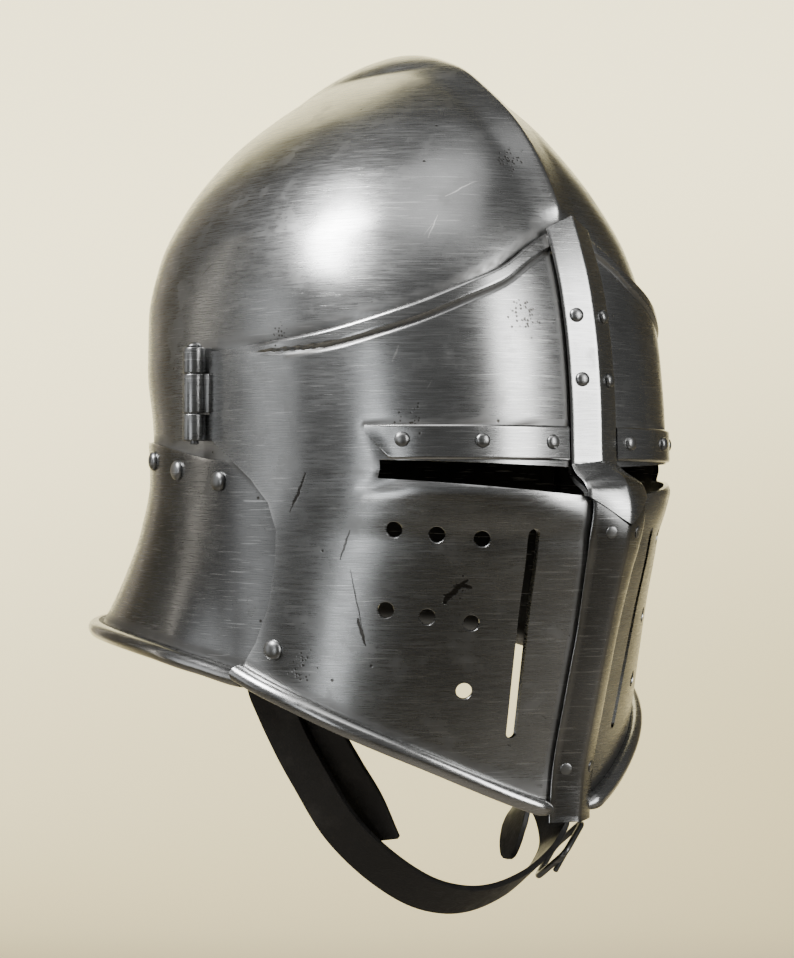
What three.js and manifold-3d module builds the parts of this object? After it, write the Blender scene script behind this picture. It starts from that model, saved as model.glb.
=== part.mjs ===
// Sallet helmet with a side-hung visor, rolled rims and a leather chin strap.
// Millimetres, +Z up, the face looks along -Y, the wearer's right side is -X.
// The origin is the middle of the head space at the height of the sights.
import * as THREE from 'three';
import { mergeVertices } from 'three/addons/utils/BufferGeometryUtils.js';
import Module from 'manifold-3d';

const wasm = await Module();
wasm.setup();

// Plates
const skullHalfWidth = 99.7;   // widest half width of the skull
const skullRise = 195;       // crown above the sight level, without the comb
const browReach = 125.4;       // skull forward of the origin at the sight level
const napeReach = 138.8;       // skull behind the origin at its fullest
const skullWall = 1.8;
const skullFoot = -8;          // lower edge of the skull
const combHeight = 3.6;
const combHalfWidth = 15;
const visorWall = 1.8;
const cheekStand = 7.2;        // lower half of the visor outside the widest part of the skull
const visorHalfWidth = skullHalfWidth + cheekStand;
const browStand = 4.2;         // upper half of the visor outside the widest part of the skull
const browHalfWidth = skullHalfWidth + browStand;
const prowStand = 17.5;        // prow of the visor in front of the skull
const prowReach = browReach + prowStand;
const browGap = 1.2;           // visor over the skull at the brow
const tuckDepth = 3.6;         // the skull steps in under the visor
const visorTop = 108;          // top edge of the visor at the nose
const visorFoot = 144.5;       // lower edge of the visor at the chin, below the origin
const guardWall = 1.8;
const guardStand = 2.2;        // neck guard outside the widest part of the skull
const guardHalfWidth = skullHalfWidth + guardStand;
const guardReach = 184;        // tail behind the origin
const guardDepth = 91;         // rim of the neck guard at the cheeks, below the origin
const rollDiameter = 7.6;      // rolled rims
const clearance = 0.35;        // between pieces that lie on each other

// Bands, sights and breaths
const bandWall = 1.5;
const nasalHalfWidth = 13.5;
const nasalTip = 19;           // point of the nasal band below the sight level
const nasalRidge = 4.4;        // ridge of the nasal band over its edges
const stripHalfWidth = 11.8;
const stripRidge = 3.4;
const stripShort = 9;          // chin strip ends above the lower edge of the visor
const nasalShoulder = 8.6;     // sides of the nasal band end below the sight level
const browBandHeight = 14.6;
const sightInner = 16.9;       // inner end of a sight from the middle plane
const sightOuter = 85;
const breathDiameter = 6.8;
const slotWidth = 3.7;
const rivetDiameter = 6.2;
const cheekRivetDiameter = 9;
const rivetHeight = 1.9;

// Hinges
const hingeX = visorHalfWidth;
const hingeY = 13.4;
const hingeLow = 16.4;
const hingeHeight = 41;
const hingeDiameter = 10;
const pinDiameter = 4;
const pinClearance = 0.35;
const knuckleGap = 0.4;

// Chin strap
const strapWidth = 21;
const strapWall = 2.6;
const buckleWire = 3;
const buckleLength = 24;

const materials = {
  steel: { color: 0x8f8c86, roughness: 0.34, metalness: 1 },
  darkSteel: { color: 0x6f6c67, roughness: 0.4, metalness: 1 },
  leather: { color: 0x1a1817, roughness: 0.55, metalness: 0 },
};

const radians = THREE.MathUtils.degToRad;
const lerp = THREE.MathUtils.lerp;

// Monotone reading of one column of a table whose first column rises.
function read(table, column, at) {
  const rows = table;
  if (at <= rows[0].at) return rows[0][column];
  const last = rows.length - 1;
  if (at >= rows[last].at) return rows[last][column];
  let i = 0;
  while (rows[i + 1].at < at) i += 1;
  const slope = (k) => (rows[k + 1][column] - rows[k][column]) / (rows[k + 1].at - rows[k].at);
  const knot = (k) => {
    if (k === 0) return slope(0);
    if (k === last) return slope(last - 1);
    const a = slope(k - 1);
    const b = slope(k);
    return a * b <= 0 ? 0 : (2 * a * b) / (a + b);
  };
  const h = rows[i + 1].at - rows[i].at;
  const s = (at - rows[i].at) / h;
  const s2 = s * s;
  const s3 = s2 * s;
  return rows[i][column] * (2 * s3 - 3 * s2 + 1) + knot(i) * h * (s3 - 2 * s2 + s)
    + rows[i + 1][column] * (3 * s2 - 2 * s3) + knot(i + 1) * h * (s3 - s2);
}

// Skull sections: shares of the rise, the half width, the brow reach and the nape reach.
const skullSections = [
  { at: -0.07, side: 1.0, front: 0.99, rear: 0.93, bulge: 2.5 },
  { at: 0.13, side: 1.0, front: 0.984, rear: 0.955, bulge: 2.45 },
  { at: 0.262, side: 1.0, front: 0.967, rear: 1.0, bulge: 2.4 },
  { at: 0.392, side: 0.994, front: 0.932, rear: 1.0, bulge: 2.35 },
  { at: 0.524, side: 0.948, front: 0.868, rear: 0.955, bulge: 2.25 },
  { at: 0.655, side: 0.816, front: 0.775, rear: 0.87, bulge: 2.1 },
  { at: 0.786, side: 0.592, front: 0.632, rear: 0.745, bulge: 2.0 },
  { at: 0.89, side: 0.345, front: 0.45, rear: 0.555, bulge: 2.0 },
  { at: 0.958, side: 0.135, front: 0.28, rear: 0.36, bulge: 2.0 },
  { at: 1.0, side: 0.0, front: 0.0, rear: 0.0, bulge: 2.0 },
];

// Reach of a rounded section in the direction that turns from the face to the left ear.
function sectionReach(turn, side, front, rear, frontPower, rearPower) {
  const sine = Math.abs(Math.sin(turn));
  const cosine = Math.cos(turn);
  const power = cosine > 0 ? frontPower : rearPower;
  const length = cosine > 0 ? front : rear;
  return Math.pow(Math.pow(sine / side, power) + Math.pow(Math.abs(cosine) / length, power), -1 / power);
}

function skullPoint(turn, z) {
  const at = Math.min(z / skullRise, 0.9995);
  const side = Math.max(read(skullSections, 'side', at) * skullHalfWidth, 0.02);
  const front = Math.max(read(skullSections, 'front', at) * browReach, 0.02);
  const rear = Math.max(read(skullSections, 'rear', at) * napeReach, 0.02);
  const reach = sectionReach(turn, side, front, rear, read(skullSections, 'bulge', at), 2.1);
  return new THREE.Vector3(reach * Math.sin(turn), -reach * Math.cos(turn), z);
}

// Visor sections by height in mm. The power pair sets how pointed the plan is at the prow.
const visorSections = [
  { at: -1.0, reach: 0.795, side: 1.0, bow: 1.35, flank: 2.3 },
  { at: -0.874, reach: 0.808, side: 1.0, bow: 1.35, flank: 2.3 },
  { at: -0.645, reach: 0.863, side: 1.0, bow: 1.35, flank: 2.3 },
  { at: -0.41, reach: 0.926, side: 1.0, bow: 1.35, flank: 2.3 },
  { at: -0.19, reach: 0.985, side: 1.0, bow: 1.4, flank: 2.3 },
  { at: -0.105, reach: 0.995, side: 0.993, bow: 1.6, flank: 2.3 },
  { at: -0.045, reach: 0.98, side: 0.985, bow: 1.9, flank: 2.3 },
  { at: 0.0, reach: 0.91, side: 0.976, bow: 2.25, flank: 2.45 },
  { at: 0.035, reach: 0.885, side: 0.973, bow: 2.5, flank: 2.5 },
  { at: 0.18, reach: 0.88, side: 0.972, bow: 2.5, flank: 2.5 },
];

// Plan of the visor: turn runs from -100 to 100 degrees, past 90 it goes straight back.
function visorPoint(turn, z) {
  const at = z / visorFoot;
  const browFoot = 0.18 * visorFoot;
  let reach = read(visorSections, 'reach', at) * prowReach;
  let side = read(visorSections, 'side', at) * visorHalfWidth;
  let bow = read(visorSections, 'bow', at);
  let flank = read(visorSections, 'flank', at);
  if (z > browFoot) {
    const share = z / skullRise;
    const proud = reach - read(skullSections, 'front', browFoot / skullRise) * browReach;
    const climb = Math.min(1, (z - browFoot) / 60);
    reach = read(skullSections, 'front', share) * browReach + lerp(proud, browGap + visorWall, climb);
    side = browHalfWidth + (read(skullSections, 'side', share) - 1) * skullHalfWidth;
    bow = read(skullSections, 'bulge', share) + 0.05;
    flank = bow;
  }
  const bend = Math.min(Math.abs(turn), Math.PI / 2);
  const past = Math.abs(turn) - bend;
  const sine = Math.min(Math.sin(bend), 1);
  const y = -reach * Math.pow(Math.max(0, 1 - Math.pow(sine, bow)), 1 / flank) + past * side;
  return new THREE.Vector3(Math.sign(turn) * side * sine, y, z);
}

// Neck guard sections by height, from the tail rim up. Flare works on the rear only.
const guardSections = [
  { at: -1.0, side: 1.07, rear: 1.045 },
  { at: -0.8, side: 1.05, rear: 1.0 },
  { at: -0.69, side: 1.035, rear: 0.945 },
  { at: -0.48, side: 1.012, rear: 0.855 },
  { at: -0.26, side: 1.003, rear: 0.775 },
  { at: 0.0, side: 1.0, rear: 0.722 },
  { at: 0.25, side: 1.0, rear: 0.7335 },
];

function guardPoint(turn, z) {
  const at = z / guardDepth;
  const away = THREE.MathUtils.smoothstep(-Math.cos(turn), -0.1, 0.35);
  const flare = (read(guardSections, 'side', at) - 1) * away;
  const side = guardHalfWidth * (1 + flare);
  const reach = sectionReach(turn, side, browReach, read(guardSections, 'rear', at) * guardReach, 2, 2.1);
  return new THREE.Vector3(reach * Math.sin(turn), -reach * Math.cos(turn), z);
}

// A point pushed out along the surface normal.
function raised(surface, turn, z, lift) {
  const point = surface(turn, z);
  const step = 0.004;
  const along = surface(turn + step, z).sub(surface(turn - step, z));
  const up = surface(turn, z + 0.4).sub(surface(turn, z - 0.4));
  const normal = along.cross(up);
  if (normal.lengthSq() < 1e-12) return point;
  return point.addScaledVector(normal.normalize(), lift);
}

// Solids
function toGeometry(points, triangles) {
  const geometry = new THREE.BufferGeometry();
  geometry.setAttribute('position', new THREE.BufferAttribute(new Float32Array(points.flat()), 3));
  geometry.setIndex(triangles);
  return geometry;
}

function toSolid(source) {
  const bare = source.clone();
  bare.deleteAttribute('normal');
  bare.deleteAttribute('uv');
  const merged = mergeVertices(bare, 1e-4);
  const mesh = new wasm.Mesh({
    numProp: 3,
    vertProperties: new Float32Array(merged.attributes.position.array),
    triVerts: new Uint32Array(merged.index.array),
  });
  return new wasm.Manifold(mesh);
}

function fromSolid(solid) {
  const mesh = solid.getMesh();
  const geometry = new THREE.BufferGeometry();
  geometry.setAttribute('position', new THREE.BufferAttribute(new Float32Array(mesh.vertProperties), 3));
  geometry.setIndex(Array.from(mesh.triVerts));
  const flat = geometry.toNonIndexed();
  flat.computeVertexNormals();
  return flat;
}

// Rings of points joined into one closed body. Closed loops skip the two end caps.
function loft(rings, looped) {
  const size = rings[0].length;
  const points = rings.flat().map((p) => [p.x, p.y, p.z]);
  const triangles = [];
  const spans = looped ? rings.length : rings.length - 1;
  for (let i = 0; i < spans; i += 1) {
    const here = i * size;
    const next = ((i + 1) % rings.length) * size;
    for (let j = 0; j < size; j += 1) {
      const k = (j + 1) % size;
      triangles.push(here + j, next + j, next + k, here + j, next + k, here + k);
    }
  }
  if (!looped) {
    const end = (rings.length - 1) * size;
    const half = size / 2;
    for (let j = 0; j < half - 1; j += 1) {
      const back = size - 1 - j;
      triangles.push(j, j + 1, back - 1, j, back - 1, back);
      triangles.push(end + j, end + back - 1, end + j + 1, end + j, end + back, end + back - 1);
    }
  }
  return toGeometry(points, triangles);
}

function turnedRight(geometry) {
  const solid = toSolid(geometry);
  if (solid.volume() > 0) return solid;
  const array = geometry.index.array;
  for (let i = 0; i < array.length; i += 3) [array[i], array[i + 1]] = [array[i + 1], array[i]];
  return toSolid(geometry);
}

// A bent plate: each column runs up the outside from foot to top and down the inside.
function plate(surface, columns, foot, top, rows, wall, looped, lift = () => 0) {
  const rings = columns.map((turn) => {
    const low = foot(turn);
    const high = top(turn);
    const outside = rows.map((s) => {
      const z = lerp(low, high, s);
      return raised(surface, turn, z, lift(turn, z));
    });
    const inside = rows.map((s) => {
      const z = lerp(low, high, s);
      return raised(surface, turn, z, lift(turn, z) - wall);
    });
    return outside.concat(inside.reverse());
  });
  return turnedRight(loft(rings, looped));
}

// A rod of round section along points, with flat ends.
function rod(points, radius, sides) {
  const rings = points.map((point, i) => {
    const before = points[Math.max(i - 1, 0)];
    const after = points[Math.min(i + 1, points.length - 1)];
    const ahead = after.clone().sub(before).normalize();
    const across = new THREE.Vector3(0, 0, 1).cross(ahead).normalize();
    const up = ahead.clone().cross(across);
    return Array.from({ length: sides }, (_, j) => {
      const angle = ((j + 0.5) / sides) * 2 * Math.PI;
      return point.clone().addScaledVector(across, radius * Math.cos(angle))
        .addScaledVector(up, radius * Math.sin(angle));
    });
  });
  return turnedRight(loft(rings, false));
}

function box(x0, x1, y0, y1, z0, z1) {
  const shape = new THREE.BoxGeometry(x1 - x0, y1 - y0, z1 - z0);
  return toSolid(shape.translate((x0 + x1) / 2, (y0 + y1) / 2, (z0 + z1) / 2));
}

function post(x, y, z0, z1, radius, sides) {
  const shape = new THREE.CylinderGeometry(radius, radius, z1 - z0, sides);
  return toSolid(shape.rotateX(Math.PI / 2).translate(x, y, (z0 + z1) / 2));
}

// An outline in the Y-Z plane cut right through from side to side.
function sideCut(outline) {
  const shape = new THREE.Shape(outline.map(([y, z]) => new THREE.Vector2(y, z)));
  const width = 4 * guardHalfWidth;
  const cut = new THREE.ExtrudeGeometry(shape, { depth: width, bevelEnabled: false, steps: 1 });
  cut.applyMatrix4(new THREE.Matrix4().set(0, 0, 1, -width / 2, 1, 0, 0, 0, 0, 1, 0, 0, 0, 0, 0, 1));
  return toSolid(cut);
}

// An outline in the X-Z plane cut backwards through the front.
function frontCut(outline, from, to) {
  const shape = new THREE.Shape(outline.map(([x, z]) => new THREE.Vector2(x, z)));
  const cut = new THREE.ExtrudeGeometry(shape, { depth: to - from, bevelEnabled: false, steps: 1 });
  cut.applyMatrix4(new THREE.Matrix4().set(1, 0, 0, 0, 0, 0, -1, to, 0, 1, 0, 0, 0, 0, 0, 1));
  return toSolid(cut);
}

// The place and outward direction of a point on a plate.
function seat(surface, turn, z, lift) {
  const foot = raised(surface, turn, z, lift);
  const away = raised(surface, turn, z, lift + 1).sub(foot).normalize();
  return { foot, away };
}

function turnOfX(x, side) {
  return Math.asin(Math.min(1, Math.max(-1, x / side)));
}

const pieces = [];

function addPiece(name, geometry, material) {
  const mesh = new THREE.Mesh(geometry, new THREE.MeshStandardMaterial(materials[material]));
  mesh.name = name;
  pieces.push(mesh);
  return mesh;
}

// A domed rivet head that stands on a plate.
function addRivet(name, surface, turn, z, lift, diameter, height = rivetHeight) {
  const radius = diameter / 2;
  const profile = [[0, 0], [radius, 0], [radius, height * 0.3], [radius * 0.72, height * 0.78], [0, height]];
  const head = new THREE.LatheGeometry(profile.map(([x, y]) => new THREE.Vector2(x, y)), 9);
  const { foot, away } = seat(surface, turn, z, lift + clearance);
  const solid = turnedRight(mergeVertices(stripped(head), 1e-4));
  const mesh = addPiece(name, fromSolid(solid), 'steel');
  mesh.position.copy(foot);
  mesh.quaternion.setFromUnitVectors(new THREE.Vector3(0, 1, 0), away);
}

function stripped(geometry) {
  geometry.deleteAttribute('normal');
  geometry.deleteAttribute('uv');
  return geometry;
}

const degrees = (list) => list.map(radians);
const mirrored = (half) => [...half.slice(1).reverse().map((v) => -v), ...half];

function fold(turn) {
  const full = THREE.MathUtils.radToDeg(turn);
  return Math.abs(full > 180 ? 360 - full : full);
}

// Top edge of the visor: turn in degrees, share of its height at the nose.
const visorTopEdge = [{ at: 0, z: 1 }, { at: 7.4, z: 0.961 }, { at: 13.6, z: 0.91 }, { at: 22, z: 0.823 },
  { at: 31, z: 0.761 }, { at: 47.5, z: 0.656 }, { at: 69, z: 0.562 }, { at: 90, z: 0.514 }];
const visorTopAt = (turn) => read(visorTopEdge, 'z', fold(turn)) * visorTop;

// Skull, open at the face, with the comb along the middle
const skullHalf = [0, 2, 5.5, 11, 20, 30, 41, 52, 63, 74, 85, 97, 110, 123, 136, 149, 161, 170, 175, 178];
const skullColumns = degrees([...skullHalf, 180, ...skullHalf.slice(1).reverse().map((v) => -v)]);
const skullRows = [0, 0.07, 0.17, 0.28, 0.38, 0.48, 0.58, 0.67, 0.75, 0.82, 0.88, 0.93, 0.965, 0.99];

function combLift(turn, z) {
  const x = Math.abs(skullPoint(turn, z).x);
  const front = Math.cos(turn) > 0;
  const fade = front ? THREE.MathUtils.smoothstep(z, visorTop - 4, visorTop + 9)
    : THREE.MathUtils.smoothstep(z, 10, 120);
  return x > combHalfWidth ? 0 : combHeight * fade * Math.pow(1 - x / combHalfWidth, 1.6);
}

// How far the skull steps in where the visor lies over it.
function tuck(turn, z) {
  const under = visorTopAt(turnOfX(skullPoint(turn, z).x, browHalfWidth)) - z;
  const ahead = THREE.MathUtils.smoothstep(Math.cos(turn), 0, 0.25);
  return tuckDepth * ahead * THREE.MathUtils.smoothstep(under, -1, 8);
}

function skullShell(offset) {
  const rings = skullRows.map((s) => {
    const z = lerp(skullFoot, skullRise, s);
    return skullColumns.map((turn) => raised(skullPoint, turn, z, combLift(turn, z) - tuck(turn, z) + offset));
  });
  const points = rings.flat().map((p) => [p.x, p.y, p.z]);
  const crown = new THREE.Vector3(0, 0, skullRise + combHeight - 1 + offset);
  points.push([crown.x, crown.y, crown.z]);
  const size = skullColumns.length;
  const triangles = [];
  for (let i = 0; i < rings.length - 1; i += 1) {
    for (let j = 0; j < size; j += 1) {
      const k = (j + 1) % size;
      const here = i * size;
      const next = here + size;
      triangles.push(here + j, here + k, next + k, here + j, next + k, next + j);
    }
  }
  const lastRing = (rings.length - 1) * size;
  for (let j = 0; j < size; j += 1) {
    triangles.push(lastRing + j, lastRing + ((j + 1) % size), points.length - 1);
  }
  return { points, triangles, size };
}

function makeSkull() {
  const outer = skullShell(0);
  const inner = skullShell(-skullWall);
  const shift = outer.points.length;
  const triangles = [...outer.triangles];
  for (let i = 0; i < inner.triangles.length; i += 3) {
    const [a, b, c] = inner.triangles.slice(i, i + 3).map((v) => v + shift);
    triangles.push(a, c, b);
  }
  for (let j = 0; j < outer.size; j += 1) {
    const k = (j + 1) % outer.size;
    triangles.push(j, shift + j, shift + k, j, shift + k, k);
  }
  return turnedRight(toGeometry([...outer.points, ...inner.points], triangles));
}

const faceEdge = [[-6, -60], [-6, 20], [-14, 30], [-24, 37], [-46, 43], [-84, 53], [-99, 64], [-108, 78], [-114, 86],
  [-220, 88],
  [-220, -60]];
let skull = makeSkull().subtract(sideCut(faceEdge));

function knuckle(side, low, high) {
  return post(side * hingeX, hingeY, low, high, hingeDiameter / 2, 16);
}

function pinBore(side) {
  return post(side * hingeX, hingeY, hingeLow - 5, hingeLow + hingeHeight + 5, pinDiameter / 2 + pinClearance, 12);
}

const middleLow = hingeLow + 0.29 * hingeHeight;
const middleHigh = hingeLow + 0.72 * hingeHeight;
const hingeTop = hingeLow + hingeHeight;
for (const side of [-1, 1]) {
  for (const [low, high] of [[hingeLow, middleLow - knuckleGap / 2], [middleHigh + knuckleGap / 2, hingeTop]]) {
    const inner = side * (skullHalfWidth - skullWall + 0.4);
    const outer = side * hingeX;
    const foot = box(Math.min(inner, outer), Math.max(inner, outer), hingeY - 3.2, hingeY + 4.2, low, high);
    skull = skull.add(knuckle(side, low, high)).add(foot);
  }
  skull = skull.subtract(pinBore(side));
}
addPiece('skull', fromSolid(skull), 'steel');

// Neck guard with its rolled rim and flared tail
const guardFirst = 52;
const guardHalf = skullHalf.filter((v) => v >= guardFirst);
const guardColumns = degrees([...guardHalf, 180, ...[...guardHalf].reverse().map((v) => 360 - v)]);
const guardRim = [{ at: 0, z: 0.96 }, { at: 80, z: 0.955 }, { at: 97, z: 0.905 }, { at: 113, z: 0.855 },
  { at: 141, z: 0.81 }, { at: 180, z: 0.79 }];
const guardTop = [{ at: 0, z: 7.4 }, { at: 90, z: 7.8 }, { at: 113, z: 13 }, { at: 130, z: 16.6 },
  { at: 180, z: 20 }];

const guardFoot = (turn) => -read(guardRim, 'z', fold(turn)) * guardDepth;
const guardRows = [0, 0.12, 0.27, 0.43, 0.6, 0.8, 1];
const rimPoints = guardColumns.map((turn) => raised(guardPoint, turn, guardFoot(turn), rollDiameter / 2 - guardWall));
const frontEnd = -browReach * 0.467;
const jointY = -18.6;
const jointGap = 1.2;
addPiece('neck_guard', fromSolid(
  plate(guardPoint, guardColumns, guardFoot, (turn) => read(guardTop, 'z', fold(turn)), guardRows, guardWall, false)
    .add(rod(rimPoints, rollDiameter / 2, 7))
    .subtract(sideCut([[-200, -200], [frontEnd, -200], [frontEnd, 60], [-200, 60]]))
    .subtract(sideCut([[-200, -200], [jointY + jointGap, -200], [jointY + jointGap, -81.5], [-200, -81.5]])),
), 'steel');

// Visor, from the brow to the chin, with sights, breaths, slots and a rolled rim
const visorHalf = [0, 3.5, 7.5, 12, 17, 22, 27.5, 33, 39, 45, 51, 57, 63, 69, 75, 81, 87, 91, 94.5];
const visorColumns = degrees(mirrored(visorHalf));
const visorLowEdge = [{ at: 0, z: 1 }, { at: 6.6, z: 0.977 }, { at: 36.6, z: 0.814 }, { at: 54.5, z: 0.722 },
  { at: 64.6, z: 0.67 }, { at: 79, z: 0.598 }, { at: 95, z: 0.505 }];
const visorRear = [[6.2, 90], [6.2, 17.5], [-7.8, 8.6], [-23.3, -0.8], [-35, -10.8], [-39.8, -22.4], [-39.1, -36.3],
  [-35, -55.5], [-28.1, -70.8], [-19.7, -82], [jointY, -84], [jointY, -130], [60, -130], [60, 90]];
const visorFootAt = (turn) => -read(visorLowEdge, 'z', fold(turn)) * visorFoot;

function visorGrid() {
  const wall = visorWall;
  const marks = [-0.19, -0.105, -0.045, 0.0, 0.035].map((at) => at * visorFoot);
  const rings = visorColumns.map((turn) => {
    const low = visorFootAt(turn);
    const high = visorTopAt(turn);
    const lower = [0, 0.2, 0.4, 0.6, 0.8].map((s) => lerp(low, marks[0], s));
    const upper = [0.3, 0.6, 0.85, 1].map((s) => lerp(marks[4], high, s));
    const levels = [...lower, ...marks, ...upper];
    const outside = levels.map((z) => raised(visorPoint, turn, z, 0));
    const inside = levels.map((z) => raised(visorPoint, turn, z, -wall));
    return outside.concat(inside.reverse());
  });
  return turnedRight(loft(rings, false));
}

function breath(turn, z) {
  const { foot, away } = seat(visorPoint, turn, z, 0);
  const drill = new THREE.CylinderGeometry(breathDiameter / 2, breathDiameter / 2, 16, 10);
  drill.applyQuaternion(new THREE.Quaternion().setFromUnitVectors(new THREE.Vector3(0, 1, 0), away));
  drill.translate(foot.x, foot.y, foot.z);
  return toSolid(drill);
}

// Breaths by turn in degrees and height in mm.
const breaths = [[29.9, -25.8], [39.2, -24], [48.2, -22], [29.2, -61], [38.5, -58.4], [47.4, -55.6], [28.6, -89.7]];

function slotOutline(side) {
  const half = slotWidth / 2 / Math.cos(radians(28));
  const top = [35.6, -23.7];
  const foot = [30.9, -108];
  const rows = [];
  for (let k = 0; k <= 4; k += 1) {
    const angle = (k / 4) * Math.PI;
    rows.push([side * (top[0] + half * Math.cos(angle)), top[1] + half * Math.sin(angle)]);
  }
  for (let k = 0; k <= 4; k += 1) {
    const angle = (1 + k / 4) * Math.PI;
    rows.push([side * (foot[0] + half * Math.cos(angle)), foot[1] + half * Math.sin(angle)]);
  }
  return side > 0 ? rows : rows.reverse();
}

const visorRollPoints = degrees(mirrored([0, 3.5, 7.5, 12, 19, 27.5, 37, 47, 57, 67, 76, 84, 91]))
  .map((turn) => raised(visorPoint, turn, visorFootAt(turn), rollDiameter / 2 - visorWall));
let visor = visorGrid().add(rod(visorRollPoints, rollDiameter / 2, 7)).subtract(sideCut(visorRear));
for (const side of [-1, 1]) {
  const sight = [[sightInner, 4.2], [sightInner, -8.1], [sightOuter, -0.6], [sightOuter, 7.1]];
  const outline = sight.map(([x, z]) => [side * x, z]);
  visor = visor.subtract(frontCut(side > 0 ? outline : outline.reverse(), -170, -62));
  visor = visor.subtract(frontCut(slotOutline(side), -170, -62));
  for (const [turn, z] of breaths) visor = visor.subtract(breath(side * radians(turn), z));
  const leafInner = side * (browHalfWidth - visorWall + 0.1);
  const leafOuter = side * (browHalfWidth + 1.6);
  visor = visor.add(knuckle(side, middleLow + knuckleGap / 2, middleHigh - knuckleGap / 2))
    .add(box(Math.min(leafInner, leafOuter), Math.max(leafInner, leafOuter), 4.4, hingeY,
      middleLow + knuckleGap / 2, middleHigh - knuckleGap / 2))
    .subtract(pinBore(side));
}
// The left knuckle is a hook, open to the rear, that slips off its pin.
const hookHalf = pinDiameter / 2 + pinClearance;
visor = visor.subtract(box(hingeX - hookHalf, hingeX + hookHalf, hingeY, hingeY + hingeDiameter, middleLow, middleHigh));
addPiece('visor', fromSolid(visor), 'steel');

// Brow bands over the sights
for (const [name, side] of [['brow_band_right', -1], ['brow_band_left', 1]]) {
  const columns = degrees([8, 14, 21, 28, 35, 42, 48, 53.5, 58].map((v) => side * v));
  const bandTop = 21.5;
  const foot = (turn) => (fold(turn) > 57 ? bandTop - 1.2 : bandTop - browBandHeight + 0.4 * (fold(turn) / 58));
  const band = plate(visorPoint, side > 0 ? columns : columns.reverse(), foot, () => bandTop, [0, 0.5, 1],
    bandWall, false, () => clearance + bandWall);
  addPiece(name, fromSolid(band), 'steel');
}

// The bands stand off a little where they cross the lip under the sights.
function lipLift(z) {
  return 1.3 * THREE.MathUtils.smoothstep(-z, -8, 2) * (1 - THREE.MathUtils.smoothstep(-z, 22, 40));
}

// Nasal band and the strip below it, each bent along its middle
function ridgeBand(name, halfWidth, ridge, lowZ, highZ, rows, reach) {
  const columns = [-1, -0.55, 0, 0.55, 1].map((s) => turnOfX(s * halfWidth, reach));
  const lift = (turn, z) => clearance * 1.6 + bandWall + lipLift(z)
    + ridge * (1 - Math.min(1, Math.abs(Math.sin(turn)) * reach / halfWidth));
  const levels = Array.from({ length: rows + 1 }, (_, k) => k / rows);
  addPiece(name, fromSolid(plate(visorPoint, columns, lowZ, highZ, levels, bandWall, false, lift)), 'steel');
}

const pointAt = (turn, halfWidth) => 1 - Math.min(1, Math.abs(Math.sin(turn)) * browHalfWidth / halfWidth);
const nasalFoot = (turn) => -nasalShoulder - (nasalTip - nasalShoulder) * pointAt(turn, nasalHalfWidth);
const stripTop = (turn) => nasalFoot(turn) - 1.2;
ridgeBand('nasal_band', nasalHalfWidth, nasalRidge, nasalFoot, (turn) => visorTopAt(turn) + 2, 18, browHalfWidth);
ridgeBand('chin_strip', stripHalfWidth, stripRidge, () => stripShort - visorFoot, stripTop, 10, visorHalfWidth);

function nasalSurface(turn, z) {
  const rise = nasalRidge * (1 - (Math.abs(Math.sin(turn)) * browHalfWidth) / nasalHalfWidth);
  return raised(visorPoint, turn, z, clearance * 1.6 + bandWall + rise + lipLift(z));
}

// Rivets by place: turn in degrees, height in mm
const browRivets = [[13, 14.6], [31.3, 15], [49.8, 15.4]];
const bandLift = clearance + bandWall;
const guardRivets = [[91, -1.5], [111, 3.6], [129, 8.3]];
for (const [label, side] of [['right', -1], ['left', 1]]) {
  browRivets.forEach(([turn, z], k) => {
    addRivet(`brow_rivet_${label}_${k + 1}`, visorPoint, side * radians(turn), z, bandLift, rivetDiameter);
  });
  guardRivets.forEach(([turn, z], k) => {
    addRivet(`guard_rivet_${label}_${k + 1}`, guardPoint, side * radians(turn), z, 0, cheekRivetDiameter, 2.6);
  });
  addRivet(`cheek_rivet_${label}`, visorPoint, side * radians(73), -73.5, 0, cheekRivetDiameter, 2.6);
  for (const [k, z] of [[1, 68], [2, 41]]) {
    addRivet(`nasal_rivet_${label}_${k}`, nasalSurface, side * turnOfX(8, browHalfWidth), z, 0, rivetDiameter);
  }
}

// Hinge pins
for (const [name, side] of [['hinge_pin_right', -1], ['hinge_pin_left', 1]]) {
  const radius = pinDiameter / 2;
  const cap = radius * 1.6;
  const low = hingeLow - 1.6;
  const high = hingeTop + clearance;
  const profile = [[0, low], [radius, low], [radius, high], [cap, high], [cap * 0.8, high + 1.6], [0, high + 2.2]];
  const pin = stripped(new THREE.LatheGeometry(profile.map(([x, y]) => new THREE.Vector2(x, y)), 12));
  pin.rotateX(Math.PI / 2).translate(side * hingeX, hingeY, 0);
  addPiece(name, fromSolid(turnedRight(mergeVertices(pin, 1e-4))), 'darkSteel');
}

// Chin strap: one long strap that ends in a loose tip, and a short one that holds the buckle
const strapRoute = [[-94.2, -24, -50], [-94.4, -23.5, -68], [-93, -21, -85], [-85.5, -18.5, -101], [-77.4, -20.5, -118],
  [-70.5, -23, -131], [-57.5, -28, -153.4], [-41, -34, -171], [-20, -39, -185], [-2, -41.5, -190.5],
  [16, -41, -191.5], [39, -38, -188], [57, -33.5, -182.5], [68, -30, -177.5], [76.5, -26.5, -170],
  [77.5, -24, -160], [73, -23.5, -152], [65.5, -23.5, -149.5], [57.5, -24, -155.5], [51, -25, -166.5], [46.5, -26, -179]];
const shortRoute = [[93.8, -24, -50], [93.8, -23.5, -68], [95, -21, -95], [95.5, -20, -125], [93.5, -20.5, -145],
  [91.2, -22.5, -157], [88.5, -24.3, -165.8]];
const tabRoute = [[-91, -27, -63.5], [-88.2, -30, -76], [-79, -34.5, -92], [-72, -34.5, -109], [-61, -36, -127],
  [-50, -37, -143], [-41, -37.5, -160]];

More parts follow.
